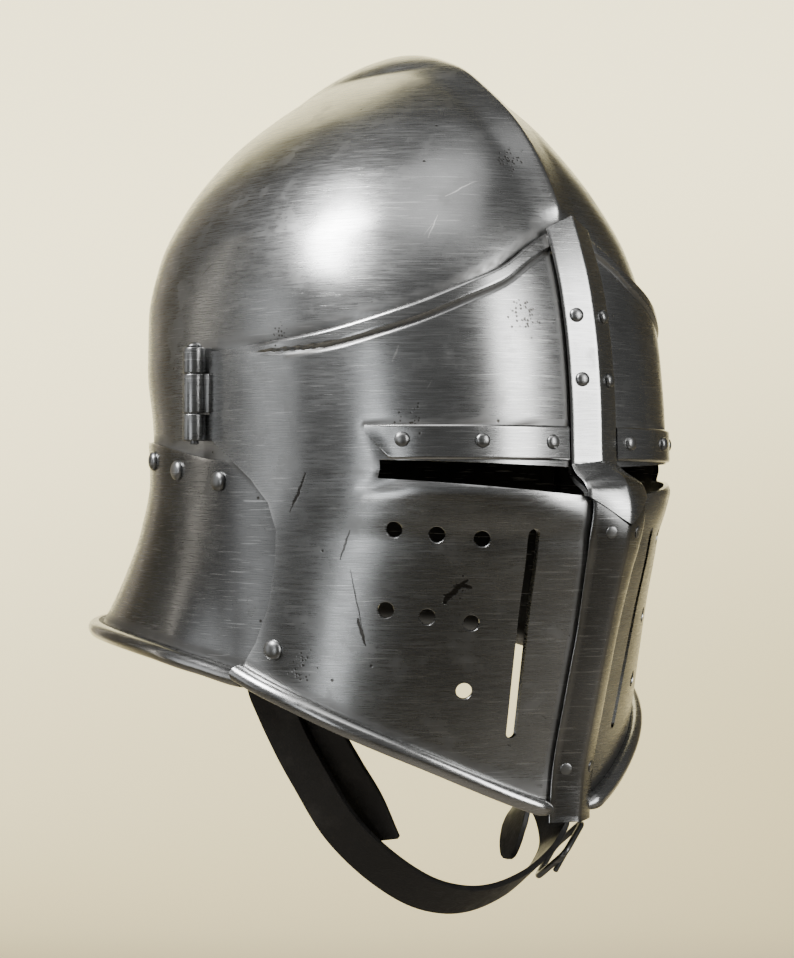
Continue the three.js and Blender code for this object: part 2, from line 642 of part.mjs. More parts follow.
const strapLean = [0, -0.79, 0.61];
const drawnHalfWidth = 101.9;  // neck guard that the strap routes are drawn for
const strapSpread = guardHalfWidth / drawnHalfWidth;

// A flat strap along a route, with its width lying across the chin.
function strap(route, steps, width, wall, endCut = 0) {
  const curve = new THREE.CatmullRomCurve3(route.map(([x, y, z]) => new THREE.Vector3(x * strapSpread, y, z)), false,
    'centripetal');
  const across = new THREE.Vector3(...strapLean);
  const rings = [];
  for (let i = 0; i <= steps; i += 1) {
    const u = i / steps;
    const point = curve.getPointAt(u);
    const ahead = curve.getTangentAt(u);
    const wide = across.clone().addScaledVector(ahead, -across.dot(ahead)).normalize();
    const thick = ahead.clone().cross(wide).normalize();
    const left = steps - i;
    const taper = left === 0 ? 0.35 : left === 1 ? 0.82 : 1;
    const half = (width / 2) * (endCut ? taper : 1);
    rings.push([[1, 1], [-1, 1], [-1, -1], [1, -1]].map(([a, b]) => point.clone()
      .addScaledVector(wide, a * half).addScaledVector(thick, (b * wall) / 2)));
  }
  return fromSolid(turnedRight(loft(rings, false)));
}

addPiece('chin_strap', strap(strapRoute, 50, strapWidth, strapWall, 1), 'leather');
addPiece('short_strap', strap(shortRoute, 20, strapWidth, strapWall), 'leather');
addPiece('strap_tab', strap(tabRoute, 16, strapWidth * 0.85, strapWall), 'leather');

// Buckle frame round the strap, and its prong
const buckleCentre = new THREE.Vector3(78.5 * strapSpread, -28.7, -177.6);
const buckleAlong = new THREE.Vector3(0.8, 0.28, 0.53).normalize();
const buckleAcross = new THREE.Vector3(...strapLean);
buckleAcross.addScaledVector(buckleAlong, -buckleAcross.dot(buckleAlong)).normalize();
const buckleOut = buckleAlong.clone().cross(buckleAcross).normalize();

function bucklePoint(along, across, out = 0) {
  return buckleCentre.clone().addScaledVector(buckleAlong, along)
    .addScaledVector(buckleAcross, across).addScaledVector(buckleOut, out);
}

function wireRing(corners, radius, sides) {
  const count = corners.length;
  const rings = corners.map((point, i) => {
    const before = corners[(i + count - 1) % count];
    const after = corners[(i + 1) % count];
    const ahead = after.clone().sub(before).normalize();
    const side = ahead.clone().cross(buckleOut).normalize();
    return Array.from({ length: sides }, (_, j) => {
      const angle = ((j + 0.5) / sides) * 2 * Math.PI;
      return point.clone().addScaledVector(side, radius * Math.cos(angle))
        .addScaledVector(buckleOut, radius * Math.sin(angle));
    });
  });
  return fromSolid(turnedRight(loft(rings, true)));
}

const halfLong = buckleLength / 2;
const halfWide = strapWidth / 2 + buckleWire * 0.9;
const corner = 4.5;
const frameCorners = [];
for (const [a, b, start] of [[1, 1, 0], [-1, 1, 90], [-1, -1, 180], [1, -1, 270]]) {
  for (const angle of [0, 30, 60, 90].map((v) => radians(v + start))) {
    frameCorners.push(bucklePoint(a * (halfLong - corner) + corner * Math.cos(angle),
      b * (halfWide - corner) + corner * Math.sin(angle)));
  }
}
addPiece('buckle_frame', wireRing(frameCorners, buckleWire / 2, 8), 'darkSteel');
const prongLift = buckleWire / 2 + 1.3 + clearance;
addPiece('buckle_prong', fromSolid(rod([bucklePoint(-halfLong - 1, 0, prongLift), bucklePoint(0, 0, prongLift),
  bucklePoint(halfLong + 1, 0, prongLift)], 1.3, 8)), 'darkSteel');

// Rivets that hold the straps inside the neck guard
for (const [name, side] of [['strap_rivet_right', -1], ['strap_rivet_left', 1]]) {
  const x = Math.abs((side < 0 ? strapRoute : shortRoute)[0][0]) * strapSpread;
  const head = stripped(new THREE.CylinderGeometry(3.2, 4, 1.8, 12));
  head.rotateZ(side * Math.PI / 2).translate(side * (x - strapWall / 2 - clearance - 0.9), -24, -57);
  addPiece(name, fromSolid(turnedRight(mergeVertices(head, 1e-4))), 'darkSteel');
}

const helmet = new THREE.Group();
helmet.add(...pieces);
export default helmet;
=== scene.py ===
import bpy
import bmesh
import math
from contextlib import contextmanager
from mathutils import Matrix, Vector


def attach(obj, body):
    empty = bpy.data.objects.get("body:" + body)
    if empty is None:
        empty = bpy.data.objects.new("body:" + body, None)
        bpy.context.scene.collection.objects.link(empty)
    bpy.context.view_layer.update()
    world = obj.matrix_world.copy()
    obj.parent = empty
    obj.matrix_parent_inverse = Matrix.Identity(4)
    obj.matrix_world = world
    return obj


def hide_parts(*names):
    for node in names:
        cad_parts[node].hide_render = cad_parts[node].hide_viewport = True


# A sallet with a side-hung visor: brushed steel plates, rolled rims and a black leather chin strap.
# Metres, +Z up, the face looks along -Y.
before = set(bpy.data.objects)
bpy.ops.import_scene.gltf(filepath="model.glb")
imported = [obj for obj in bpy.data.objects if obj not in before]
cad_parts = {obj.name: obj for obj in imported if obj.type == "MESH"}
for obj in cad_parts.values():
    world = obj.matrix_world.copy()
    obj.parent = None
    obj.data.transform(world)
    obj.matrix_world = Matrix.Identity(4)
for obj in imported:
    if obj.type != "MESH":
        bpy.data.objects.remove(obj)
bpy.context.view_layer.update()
mm = 0.001
farOut = 200  # beyond every piece, in mm
acrossAll = 0.2  # beyond every piece to either side


# General helpers

def smoothStep(value, low, high):
    share = min(1, max(0, (value - low) / (high - low)))
    return share * share * (3 - 2 * share)


def mix(a, b, share):
    return a + (b - a) * share


def readTable(table, column, at):  # monotone cubic reading of one column
    rows = [row[0] for row in table]
    if at <= rows[0]:
        return table[0][column]
    if at >= rows[-1]:
        return table[-1][column]
    i = max(k for k in range(len(rows) - 1) if rows[k] <= at)

    def slope(k):
        return (table[k + 1][column] - table[k][column]) / (rows[k + 1] - rows[k])

    def knot(k):
        if k == 0:
            return slope(0)
        if k == len(rows) - 1:
            return slope(k - 1)
        a, b = slope(k - 1), slope(k)
        return 0 if a * b <= 0 else 2 * a * b / (a + b)

    h = rows[i + 1] - rows[i]
    s = (at - rows[i]) / h
    return (table[i][column] * (2 * s**3 - 3 * s**2 + 1) + knot(i) * h * (s**3 - 2 * s**2 + s)
            + table[i + 1][column] * (3 * s**2 - 2 * s**3) + knot(i + 1) * h * (s**3 - s**2))


def deselectAll():
    if bpy.context.mode != "OBJECT":
        bpy.ops.object.mode_set(mode="OBJECT")
    bpy.ops.object.select_all(action="DESELECT")


def makeActive(piece):
    deselectAll()
    piece.select_set(True)
    bpy.context.view_layer.objects.active = piece


def applyModifier(piece, kind, **values):
    modifier = piece.modifiers.new(kind.title(), kind)
    for key, value in values.items():
        setattr(modifier, key, value)
    makeActive(piece)
    bpy.ops.object.modifier_apply(modifier=modifier.name)


def settle(piece):  # place into the mesh, object at the origin
    makeActive(piece)
    bpy.ops.object.transform_apply(location=True, rotation=True, scale=True)


@contextmanager
def editing(piece):  # edit mode with everything selected
    makeActive(piece)
    bpy.ops.object.mode_set(mode="EDIT")
    bpy.ops.mesh.select_all(action="SELECT")
    yield
    bpy.ops.object.mode_set(mode="OBJECT")


def cleanMesh(piece, distance=0.00002):
    with editing(piece):
        bpy.ops.mesh.remove_doubles(threshold=distance)
        bpy.ops.mesh.dissolve_degenerate(threshold=0.00001)


def faceOutward():
    bpy.ops.mesh.select_all(action="SELECT")
    bpy.ops.mesh.normals_make_consistent(inside=False)


def smoothShade(piece, angle=32):
    makeActive(piece)
    bpy.ops.object.shade_smooth_by_angle(angle=math.radians(angle))


def joinPieces(name, parts):
    deselectAll()
    for part in parts:
        part.select_set(True)
    bpy.context.view_layer.objects.active = parts[0]
    bpy.ops.object.join()
    parts[0].name = name
    return parts[0]


def formSheet(name, columns, rows, form):  # a grid bent into a plate, column by column
    deselectAll()
    bpy.ops.mesh.primitive_grid_add(x_subdivisions=len(columns) - 1, y_subdivisions=len(rows) - 1, size=2)
    sheet = bpy.context.object
    sheet.name = name
    for vertex in sheet.data.vertices:
        u = round((vertex.co.x + 1) / 2 * (len(columns) - 1))
        v = round((vertex.co.y + 1) / 2 * (len(rows) - 1))
        vertex.co = form(columns[u], rows[v])
    sheet.data.update()
    return sheet


def raisedPoint(surface, turn, z, lift):
    point = surface(turn, z)
    along = surface(turn + 0.004, z) - surface(turn - 0.004, z)
    up = surface(turn, z + 0.0004) - surface(turn, z - 0.0004)
    normal = along.cross(up)
    if normal.length < 1e-13:
        return point
    return point + normal.normalized() * lift


def evenly(low, high, count):
    return [mix(low, high, k / count) for k in range(count + 1)]


def cutWith(piece, cutter):
    applyModifier(piece, "BOOLEAN", operation="DIFFERENCE", solver="EXACT", object=cutter)
    bpy.data.objects.remove(cutter, do_unlink=True)


def prismCutter(outline, plane, low, high):  # an outline in mm pushed through from low to high
    deselectAll()
    bpy.ops.mesh.primitive_circle_add(vertices=len(outline), radius=1, fill_type="NGON")
    cutter = bpy.context.object
    axes = ((0, 0, 1), (1, 0, 0), (0, 1, 0)) if plane == "YZ" else ((1, 0, 0), (0, 0, 1), (0, 1, 0))
    turned = Matrix(axes)
    for vertex, (a, b) in zip(cutter.data.vertices, outline):
        vertex.co = turned @ Vector((a * mm, b * mm, low))
    push = turned @ Vector((0, 0, high - low))
    with editing(cutter):
        bpy.ops.mesh.extrude_region_move(TRANSFORM_OT_translate={"value": push})
        faceOutward()
    return cutter


# Plates

skull = {
    "halfWidth": 0.0997, "rise": 0.195, "brow": 0.1254, "nape": 0.1388, "wall": 0.0018, "foot": -0.008,
    "combHeight": 0.0036, "combHalf": 0.015, "tuck": 0.0036,
    # share of the rise: side, front, rear, bulge of the plan
    "sections": [(-0.07, 1.0, 0.99, 0.93, 2.5), (0.13, 1.0, 0.984, 0.955, 2.45),
                 (0.262, 1.0, 0.967, 1.0, 2.4), (0.392, 0.994, 0.932, 1.0, 2.35),
                 (0.524, 0.948, 0.868, 0.955, 2.25),
                 (0.655, 0.816, 0.775, 0.87, 2.1), (0.786, 0.592, 0.632, 0.745, 2.0),
                 (0.89, 0.345, 0.45, 0.555, 2.0), (0.958, 0.135, 0.28, 0.36, 2.0), (1.0, 0.0, 0.0, 0.0, 2.0)],
    # face opening, forward and up in mm
    "faceEdge": [(-6, -60), (-6, 20), (-14, 30), (-24, 37), (-46, 43), (-84, 53), (-99, 64), (-108, 78),
                 (-114, 86), (-220, 88), (-220, -60)],
}

visor = {
    "wall": 0.0018, "halfWidth": 0.1069, "browHalf": 0.1039, "prow": 0.1429, "browGap": 0.0012,
    "top": 0.108, "foot": 0.1445, "borderWidth": 0.0068, "borderRise": 0.0011, "grooveDepth": 0.0008,
    # share of the foot height: reach, side, bow and flank powers of the plan
    "sections": [(-1.0, 0.795, 1.0, 1.35, 2.3), (-0.874, 0.808, 1.0, 1.35, 2.3),
                 (-0.645, 0.863, 1.0, 1.35, 2.3), (-0.41, 0.926, 1.0, 1.35, 2.3),
                 (-0.19, 0.985, 1.0, 1.4, 2.3), (-0.105, 0.995, 0.993, 1.6, 2.3),
                 (-0.045, 0.98, 0.985, 1.9, 2.3), (0.0, 0.91, 0.976, 2.25, 2.45),
                 (0.035, 0.885, 0.973, 2.5, 2.5), (0.18, 0.88, 0.972, 2.5, 2.5)],
    "topEdge": [(0, 1), (7.4, 0.961), (13.6, 0.91), (22, 0.823), (31, 0.761), (47.5, 0.656), (69, 0.562),
                (90, 0.514)],
    "lowEdge": [(0, 1), (6.6, 0.977), (36.6, 0.814), (54.5, 0.722), (64.6, 0.67), (79, 0.598), (95, 0.505)],
    "rearEdge": [(6.2, 90), (6.2, 17.5), (-7.8, 8.6), (-23.3, -0.8), (-35, -10.8), (-39.8, -22.4),
                 (-39.1, -36.3), (-35, -55.5), (-28.1, -70.8), (-19.7, -82), (-18.6, -84), (-18.6, -130),
                 (60, -130), (60, 90)],
    "sight": [(12.8, 4.2), (15.4, -8.1), (85, -0.6), (85, 7.1)],
    "breaths": [(29.9, -25.8), (39.2, -24), (48.2, -22), (29.2, -61), (38.5, -58.4), (47.4, -55.6),
                (28.6, -89.7)],
    "breathSize": 0.0068, "slotTop": (35.6, -23.7), "slotFoot": (30.9, -108), "slotWidth": 3.7,
}

guard = {
    "wall": 0.0018, "halfWidth": 0.1019, "reach": 0.184, "depth": 0.091,
    "sections": [(-1.0, 1.07, 1.045), (-0.8, 1.05, 1.0), (-0.69, 1.035, 0.945), (-0.48, 1.012, 0.855),
                 (-0.26, 1.003, 0.775), (0.0, 1.0, 0.722), (0.25, 1.0, 0.7335)],
    "rim": [(0, 0.96), (80, 0.955), (97, 0.905), (113, 0.855), (141, 0.81), (180, 0.79)],
    "top": [(0, 7.4), (90, 7.8), (113, 13), (130, 16.6), (180, 20)],
}

roll = {"diameter": 0.0076, "thinRadius": 0.0019, "wall": 0.0018}


def sectionReach(turn, side, front, rear, frontPower, rearPower):
    cosine = math.cos(turn)
    power = frontPower if cosine > 0 else rearPower
    length = front if cosine > 0 else rear
    return (abs(math.sin(turn)) / side)**power + (abs(cosine) / length)**power, power


def crownShare(column, at):  # above the last ring the crown closes in a round cap
    ring = skull["sections"][-2]
    if at <= ring[0]:
        return readTable(skull["sections"], column, at)
    return ring[column] * math.sqrt((1 - at) / (1 - ring[0]))


def skullPoint(turn, z):
    at = min(z / skull["rise"], 0.9995)
    side = crownShare(1, at) * skull["halfWidth"]
    front = crownShare(2, at) * skull["brow"]
    rear = crownShare(3, at) * skull["nape"]
    total, power = sectionReach(turn, side, front, rear, readTable(skull["sections"], 4, at), 2.1)
    reach = total**(-1 / power)
    return Vector((reach * math.sin(turn), -reach * math.cos(turn), z))


def guardPoint(turn, z):
    at = z / guard["depth"]
    away = smoothStep(-math.cos(turn), -0.1, 0.35)
    side = guard["halfWidth"] * (1 + (readTable(guard["sections"], 1, at) - 1) * away)
    rear = readTable(guard["sections"], 2, at) * guard["reach"]
    total, power = sectionReach(turn, side, skull["brow"], rear, 2, 2.1)
    reach = total**(-1 / power)
    return Vector((reach * math.sin(turn), -reach * math.cos(turn), z))


def visorPoint(turn, z):
    at = z / visor["foot"]
    browFoot = 0.18 * visor["foot"]
    reach, side, bow, flank = [readTable(visor["sections"], k, at) for k in (1, 2, 3, 4)]
    reach *= visor["prow"]
    side *= visor["halfWidth"]
    if z > browFoot:
        share = z / skull["rise"]
        proud = reach - readTable(skull["sections"], 2, browFoot / skull["rise"]) * skull["brow"]
        climb = min(1, (z - browFoot) / 0.06)
        reach = readTable(skull["sections"], 2, share) * skull["brow"]
        reach += mix(proud, visor["browGap"] + visor["wall"], climb)
        side = visor["browHalf"] + (readTable(skull["sections"], 1, share) - 1) * skull["halfWidth"]
        bow = flank = readTable(skull["sections"], 4, share) + 0.05
    bend = min(abs(turn), math.pi / 2)
    sine = min(math.sin(bend), 1)
    y = -reach * max(0, 1 - sine**bow)**(1 / flank) + (abs(turn) - bend) * side
    return Vector((math.copysign(side * sine, turn), y, z))


def foldedTurn(turn):
    full = math.degrees(turn)
    return abs(360 - full if full > 180 else full)


def visorTop(turn):
    return readTable(visor["topEdge"], 1, foldedTurn(turn)) * visor["top"]


def visorFoot(turn):
    return -readTable(visor["lowEdge"], 1, foldedTurn(turn)) * visor["foot"]


def guardFoot(turn):
    return -readTable(guard["rim"], 1, foldedTurn(turn)) * guard["depth"]


def guardTop(turn):
    return readTable(guard["top"], 1, foldedTurn(turn)) * mm


# Skull, with its comb

skullLook = {
    "columns": 250, "rows": 88, "fineTurns": (0.3, 0.7, 1.3, 2.1, 3.2), "combSoft": 0.0007,
    "lastRow": 0.9994, "crownDrop": 0.001, "combEase": 0.28, "easeFrom": 0.93,
}


def combLift(turn, z):
    x = abs(skullPoint(turn, z).x)
    x = math.hypot(x, skullLook["combSoft"]) - skullLook["combSoft"]
    if math.cos(turn) > 0:
        fade = smoothStep(z, visor["top"] - 0.004, visor["top"] + 0.009)
    else:
        fade = smoothStep(z, 0.01, 0.12)
    fade *= 1 - skullLook["combEase"] * smoothStep(z, skull["rise"] * skullLook["easeFrom"], skull["rise"])
    return 0 if x > skull["combHalf"] else skull["combHeight"] * fade * (1 - x / skull["combHalf"])**1.6


def tuckIn(turn, z):  # the skull steps in where the visor lies over it
    x = skullPoint(turn, z).x
    browTurn = math.asin(min(1, max(-1, x / visor["browHalf"])))
    under = visorTop(browTurn) - z
    return skull["tuck"] * smoothStep(math.cos(turn), 0, 0.25) * smoothStep(under, -0.001, 0.008)


def skullForm(turn, z):
    return raisedPoint(skullPoint, turn, z, combLift(turn, z) - tuckIn(turn, z))


def makeSkull():
    fine = [math.radians(side * t) for t in skullLook["fineTurns"] for side in (-1, 1)]
    turns = set(evenly(-math.pi / 2, math.pi * 1.5, skullLook["columns"]))
    turns |= {0, math.pi} | set(fine) | {math.pi + t for t in fine}
    heights = []
    for k in range(skullLook["rows"] + 1):
        share = math.sin(k / skullLook["rows"] * math.pi / 2)
        heights.append(mix(skull["foot"], skull["rise"] * skullLook["lastRow"], share))
    shell = formSheet("skull_plate", sorted(turns), heights, skullForm)
    crown = Vector((0, 0, skull["rise"] + skull["combHeight"] - skullLook["crownDrop"]))
    cleanMesh(shell)
    with editing(shell):  # the last small ring closes in one point
        mesh = bmesh.from_edit_mesh(shell.data)
        for edge in mesh.edges:
            edge.select_set(edge.is_boundary and edge.verts[0].co.z > skull["rise"] * 0.9)
        bpy.ops.mesh.select_mode(type="EDGE")
        mesh.select_flush_mode()
        bmesh.update_edit_mesh(shell.data)
        bpy.ops.mesh.extrude_region_move(TRANSFORM_OT_translate={"value": (0, 0, 0)})
        bpy.ops.mesh.merge(type="CENTER")
        faceOutward()
    top = max(shell.data.vertices, key=lambda vertex: vertex.co.z if vertex.co.xy.length < 0.003 else -1)
    top.co = crown
    applyModifier(shell, "SOLIDIFY", thickness=skull["wall"], offset=-1, use_even_offset=True)
    cutWith(shell, prismCutter(skull["faceEdge"], "YZ", -acrossAll, acrossAll))
    return shell


# Rolled rim: a rod that follows the edge of a plate

def makeRoll(name, surface, turns, foot):
    full = roll["diameter"] / 2
    radii = [mix(roll["thinRadius"], full, smoothStep(abs(math.degrees(turn)), 4.5, 9)) for turn in turns]
    centres = [raisedPoint(surface, t, foot(t), r - roll["wall"]) for t, r in zip(turns, radii)]

    def form(angle, k):
        ahead = (centres[min(k + 1, len(centres) - 1)] - centres[max(k - 1, 0)]).normalized()
        across = Vector((0, 0, 1)).cross(ahead).normalized()
        up = ahead.cross(across)
        return centres[k] + (across * math.cos(angle) + up * math.sin(angle)) * radii[k]

    rod = formSheet(name, evenly(0, 2 * math.pi, 20), range(len(centres)), form)
    cleanMesh(rod)
    with editing(rod):
        bpy.ops.mesh.select_all(action="DESELECT")
        bpy.ops.mesh.select_non_manifold()
        bpy.ops.mesh.fill_holes(sides=0)
        faceOutward()
    return rod


# Neck guard

# the guard ends inside the visor at frontEnd, its foot ends at the visor's rear edge at jointEnd, in mm
guardLook = {
    "columns": 230, "rows": 64, "rollSteps": 150, "start": 52,
    "frontEnd": -58.6, "jointEnd": -17.4, "jointTop": -81.5, "plateTop": 60,
}


def makeGuard():
    start = math.radians(guardLook["start"])
    turns = evenly(start, 2 * math.pi - start, guardLook["columns"])

    def form(turn, share):
        z = mix(guardFoot(turn), guardTop(turn), share)
        return guardPoint(turn, z)

    shell = formSheet("neck_guard_plate", turns, evenly(0, 1, guardLook["rows"]), form)
    applyModifier(shell, "SOLIDIFY", thickness=guard["wall"], offset=-1, use_even_offset=True)
    rollTurns = evenly(turns[0], turns[-1], guardLook["rollSteps"])
    rim = makeRoll("neck_guard_roll", guardPoint, rollTurns, guardFoot)
    cuts = ((guardLook["frontEnd"], guardLook["plateTop"]), (guardLook["jointEnd"], guardLook["jointTop"]))
    for part in (shell, rim):
        for rear, top in cuts:
            outline = [(-farOut, -farOut), (rear, -farOut), (rear, top), (-farOut, top)]
            cutWith(part, prismCutter(outline, "YZ", -acrossAll, acrossAll))
    return joinPieces("neck_guard_plate", [shell, rim])


# Visor

visorLook = {
    "columns": 236, "low": 42, "lip": 26, "high": 26, "border": 24, "borderDepth": 0.0125,
    "lipLow": -0.19, "lipHigh": 0.06, "halfTurn": 94.5, "rollStart": 5.2, "rollSteps": 90,
    "cutFront": -0.17, "cutRear": -0.062,
}


def borderLift(turn, z):  # raised border along the top edge with a groove below it
    down = visorTop(turn) - z
    side = abs(math.degrees(turn))
    fade = 1 - smoothStep(side, 76, 84)
    width = visor["borderWidth"] * mix(0.55, 1, 1 - smoothStep(side, 62, 84))
    rise = visor["borderRise"] * (1 - smoothStep(down, width * 0.8, width))
    edge = smoothStep(down, -0.0002, 0.0012)
    groove = visor["grooveDepth"] * math.exp(-((down - width * 1.1) / 0.0009)**2)
    return (rise * mix(0.35, 1, edge) - groove) * fade


sightBend = {"depth": 0.0009, "end": 55, "spreadLow": 6, "spreadHigh": 21.5, "facet": 6.0}


def sightDip(turn, z):  # the plate bends inwards to the rear end of a sight
    behind = abs(math.degrees(turn)) - sightBend["end"]
    height = z / mm - 3
    away = height / (sightBend["spreadHigh"] - 3) if height > 0 else -height / (sightBend["spreadLow"] + 3)
    edge = 1.2 + 4.6 * min(away, 1)
    inward = smoothStep(edge - behind, 0, sightBend["facet"]) * smoothStep(behind, -10, -2)
    return -sightBend["depth"] * inward * (1 - smoothStep(away, 0.7, 1.25))


def visorForm(turn, row):
    low, high = visorFoot(turn), visorTop(turn)
    lipLow, lipHigh = visorLook["lipLow"] * visor["foot"], visorLook["lipHigh"] * visor["foot"]
    edge = high - visorLook["borderDepth"]
    marks = [low, lipLow, lipHigh, edge, high]
    step = min(3, int(row))
    z = mix(marks[step], marks[step + 1], row - step)
    return raisedPoint(visorPoint, turn, z, borderLift(turn, z) + sightDip(turn, z))


def slotOutline(side):
    half = visor["slotWidth"] / 2 / math.cos(math.radians(28))
    ends = [(visor["slotTop"], 0), (visor["slotFoot"], math.pi)]
    outline = []
    for (x, z), start in ends:
        for k in range(9):
            angle = start + k / 8 * math.pi
            outline.append((side * (x + half * math.cos(angle)), z + half * math.sin(angle)))
    return outline


def breathCutter(turn, z):  # a drill that widens a little at the face of the plate
    foot = visorPoint(turn, z)
    away = (raisedPoint(visorPoint, turn, z, 0.001) - foot).normalized()
    deselectAll()
    bpy.ops.mesh.primitive_cylinder_add(vertices=40, radius=visor["breathSize"] / 2, depth=0.014)
    drill = bpy.context.object
    with editing(drill):
        bpy.ops.mesh.bisect(plane_co=(0, 0, -0.0004), plane_no=(0, 0, 1), use_fill=False)
        bpy.ops.mesh.select_all(action="SELECT")
    for vertex in drill.data.vertices:
        if vertex.co.z > 0.005:
            vertex.co.x *= 1.32
            vertex.co.y *= 1.32
            vertex.co.z = 0.0012
    drill.data.transform(away.to_track_quat("Z", "Y").to_matrix().to_4x4())
    drill.data.transform(Matrix.Translation(foot))
    return drill


def makeVisor():
    half = math.radians(visorLook["halfTurn"])
    turns = sorted(set(evenly(-half, half, visorLook["columns"])) | {0})
    rows = [k / visorLook["low"] for k in range(visorLook["low"])]
    rows += [1 + k / visorLook["lip"] for k in range(visorLook["lip"])]
    rows += [2 + k / visorLook["high"] for k in range(visorLook["high"])]
    rows += [3 + k / visorLook["border"] for k in range(visorLook["border"] + 1)]
    shell = formSheet("visor_plate", turns, rows, visorForm)
    applyModifier(shell, "SOLIDIFY", thickness=visor["wall"], offset=-1, use_even_offset=True)
    start = math.radians(visorLook["rollStart"])
    rims = []
    for low, high in ((-half, -start), (start, half)):
        rims.append(makeRoll("visor_roll", visorPoint, evenly(low, high, visorLook["rollSteps"]), visorFoot))
    cutters = []
    for side in (-1, 1):
        sight = [(side * x, z) for x, z in visor["sight"]]
        for outline in (sight, slotOutline(side)):
            cutters.append(prismCutter(outline, "XZ", visorLook["cutFront"], visorLook["cutRear"]))
        cutters += [breathCutter(side * math.radians(turn), z * mm) for turn, z in visor["breaths"]]
    cutWith(shell, joinPieces("visor_openings", cutters))
    for part in (shell, *rims):
        cutWith(part, prismCutter(visor["rearEdge"], "YZ", -acrossAll, acrossAll))
    return joinPieces("visor_plate", [shell, *rims])


# Bands over the visor

band = {
    "wall": 0.0015, "clearance": 0.00035, "round": 0.0006, "browTop": 0.0215, "browHeight": 0.0146,
    "browStart": 8, "browEnd": 58, "nasalHalf": 0.0135, "nasalTip": 0.019, "nasalRidge": 0.0044,
    "nasalShoulder": 0.0086, "nasalTop": 0.002, "nasalFlare": 0.0034,
    "stripHalf": 0.0118, "stripRidge": 0.0034, "stripFlare": 0.0032, "stripBend": -0.126, "stripDrop": 0.0026,
}


def lipLift(z):
    down = -z / mm
    return 0.0013 * smoothStep(down, -8, 2) * (1 - smoothStep(down, 22, 40))


def softEdge(share):  # drops the border of a band, share runs from 0 to 1 across it
    return band["round"] * (1 - smoothStep(min(share, 1 - share), 0, 0.05))


def makeBrowBand(name, side):
    turns = sorted(side * math.radians(t) for t in evenly(band["browStart"], band["browEnd"], 70))

    def form(turn, share):
        degreesOut = abs(math.degrees(turn))
        foot = band["browTop"] - band["browHeight"] + 0.0004 * degreesOut / 58
        foot = mix(foot, band["browTop"] - 0.0012, smoothStep(degreesOut, 52.5, 60.5)**0.7)
        z = mix(foot, band["browTop"], share)
        lift = band["clearance"] + band["wall"] - softEdge(share) + sightDip(turn, z)
        return raisedPoint(visorPoint, turn, z, lift)

    strip = formSheet(name, turns, evenly(0, 1, 30), form)
    applyModifier(strip, "SOLIDIFY", thickness=band["wall"] - band["round"] * 0.6, offset=-1)
    return strip


def ridgeLift(turn, z, reach, halfWidth, ridge):
    sine = math.hypot(math.sin(turn) * reach, 0.0004) - 0.0004
    share = min(1, sine / halfWidth)
    rounded = band["round"] * smoothStep(share, 0.93, 1)
    return band["clearance"] * 1.6 + band["wall"] + lipLift(z) + ridge * (1 - share) - rounded


def nasalHalfAt(z):  # the band flares to cover the inner corners of the sights
    return band["nasalHalf"] + band["nasalFlare"] * smoothStep(-z, -0.008, 0.0095)


def stripHalfAt(z):
    return band["stripHalf"] + band["stripFlare"] * smoothStep(z, -0.07, -0.012)


def nasalSurface(turn, z):
    lift = ridgeLift(turn, z, visor["browHalf"], nasalHalfAt(z), band["nasalRidge"])
    return raisedPoint(visorPoint, turn, z, lift)


def bandShares():
    return [-1, -0.98, -0.95, -0.9, -0.75, -0.6, -0.45, -0.3, -0.15, -0.06, -0.03, 0]


def fullShares():
    return bandShares() + [-share for share in bandShares()[:-1]][::-1]


def makeNasalBand():
    def form(across, share):
        tip = mix(band["nasalTip"], band["nasalShoulder"], abs(across))
        z = -tip
        for _ in range(4):  # the top follows the edge of the visor
            turn = math.asin(across * nasalHalfAt(z) / visor["browHalf"])
            z = mix(-tip, visorTop(turn) + band["nasalTop"], share)
        return nasalSurface(turn, z)

    strip = formSheet("nasal_band_plate", fullShares(), evenly(0, 1, 150), form)
    applyModifier(strip, "SOLIDIFY", thickness=band["wall"] - band["round"] * 0.6, offset=-1)
    return strip


def stripSurface(turn, z):
    lift = ridgeLift(turn, z, visor["halfWidth"], stripHalfAt(z), band["stripRidge"])
    return raisedPoint(visorPoint, turn, z, lift)


def makeChinStrip():
    reach, ridge = visor["halfWidth"], band["stripRidge"]
    bend, end = band["stripBend"], -visor["foot"] - band["stripDrop"]

    def form(across, share):
        high = -mix(band["nasalTip"], band["nasalShoulder"], abs(across)) - 0.0008
        z = mix(bend, high, share) if share >= 0 else mix(bend, end, -share)
        turn = math.asin(across * stripHalfAt(z) / reach)
        lift = ridgeLift(turn, z, reach, stripHalfAt(z), ridge)
        return raisedPoint(visorPoint, turn, z, lift)

    rows = [-k / 30 for k in range(30, 0, -1)] + evenly(0, 1, 110)
    strip = formSheet("chin_strip_plate", fullShares(), rows, form)
    applyModifier(strip, "SOLIDIFY", thickness=band["wall"] - band["round"] * 0.6, offset=-1)
    return strip


# Rivets

rivet = {
    "radius": 0.0031, "height": 0.0019, "largeRadius": 0.0045, "largeHeight": 0.0026,
    "flushRadius": 0.0026, "flushHeight": 0.0005, "sunk": 0.0001,
}


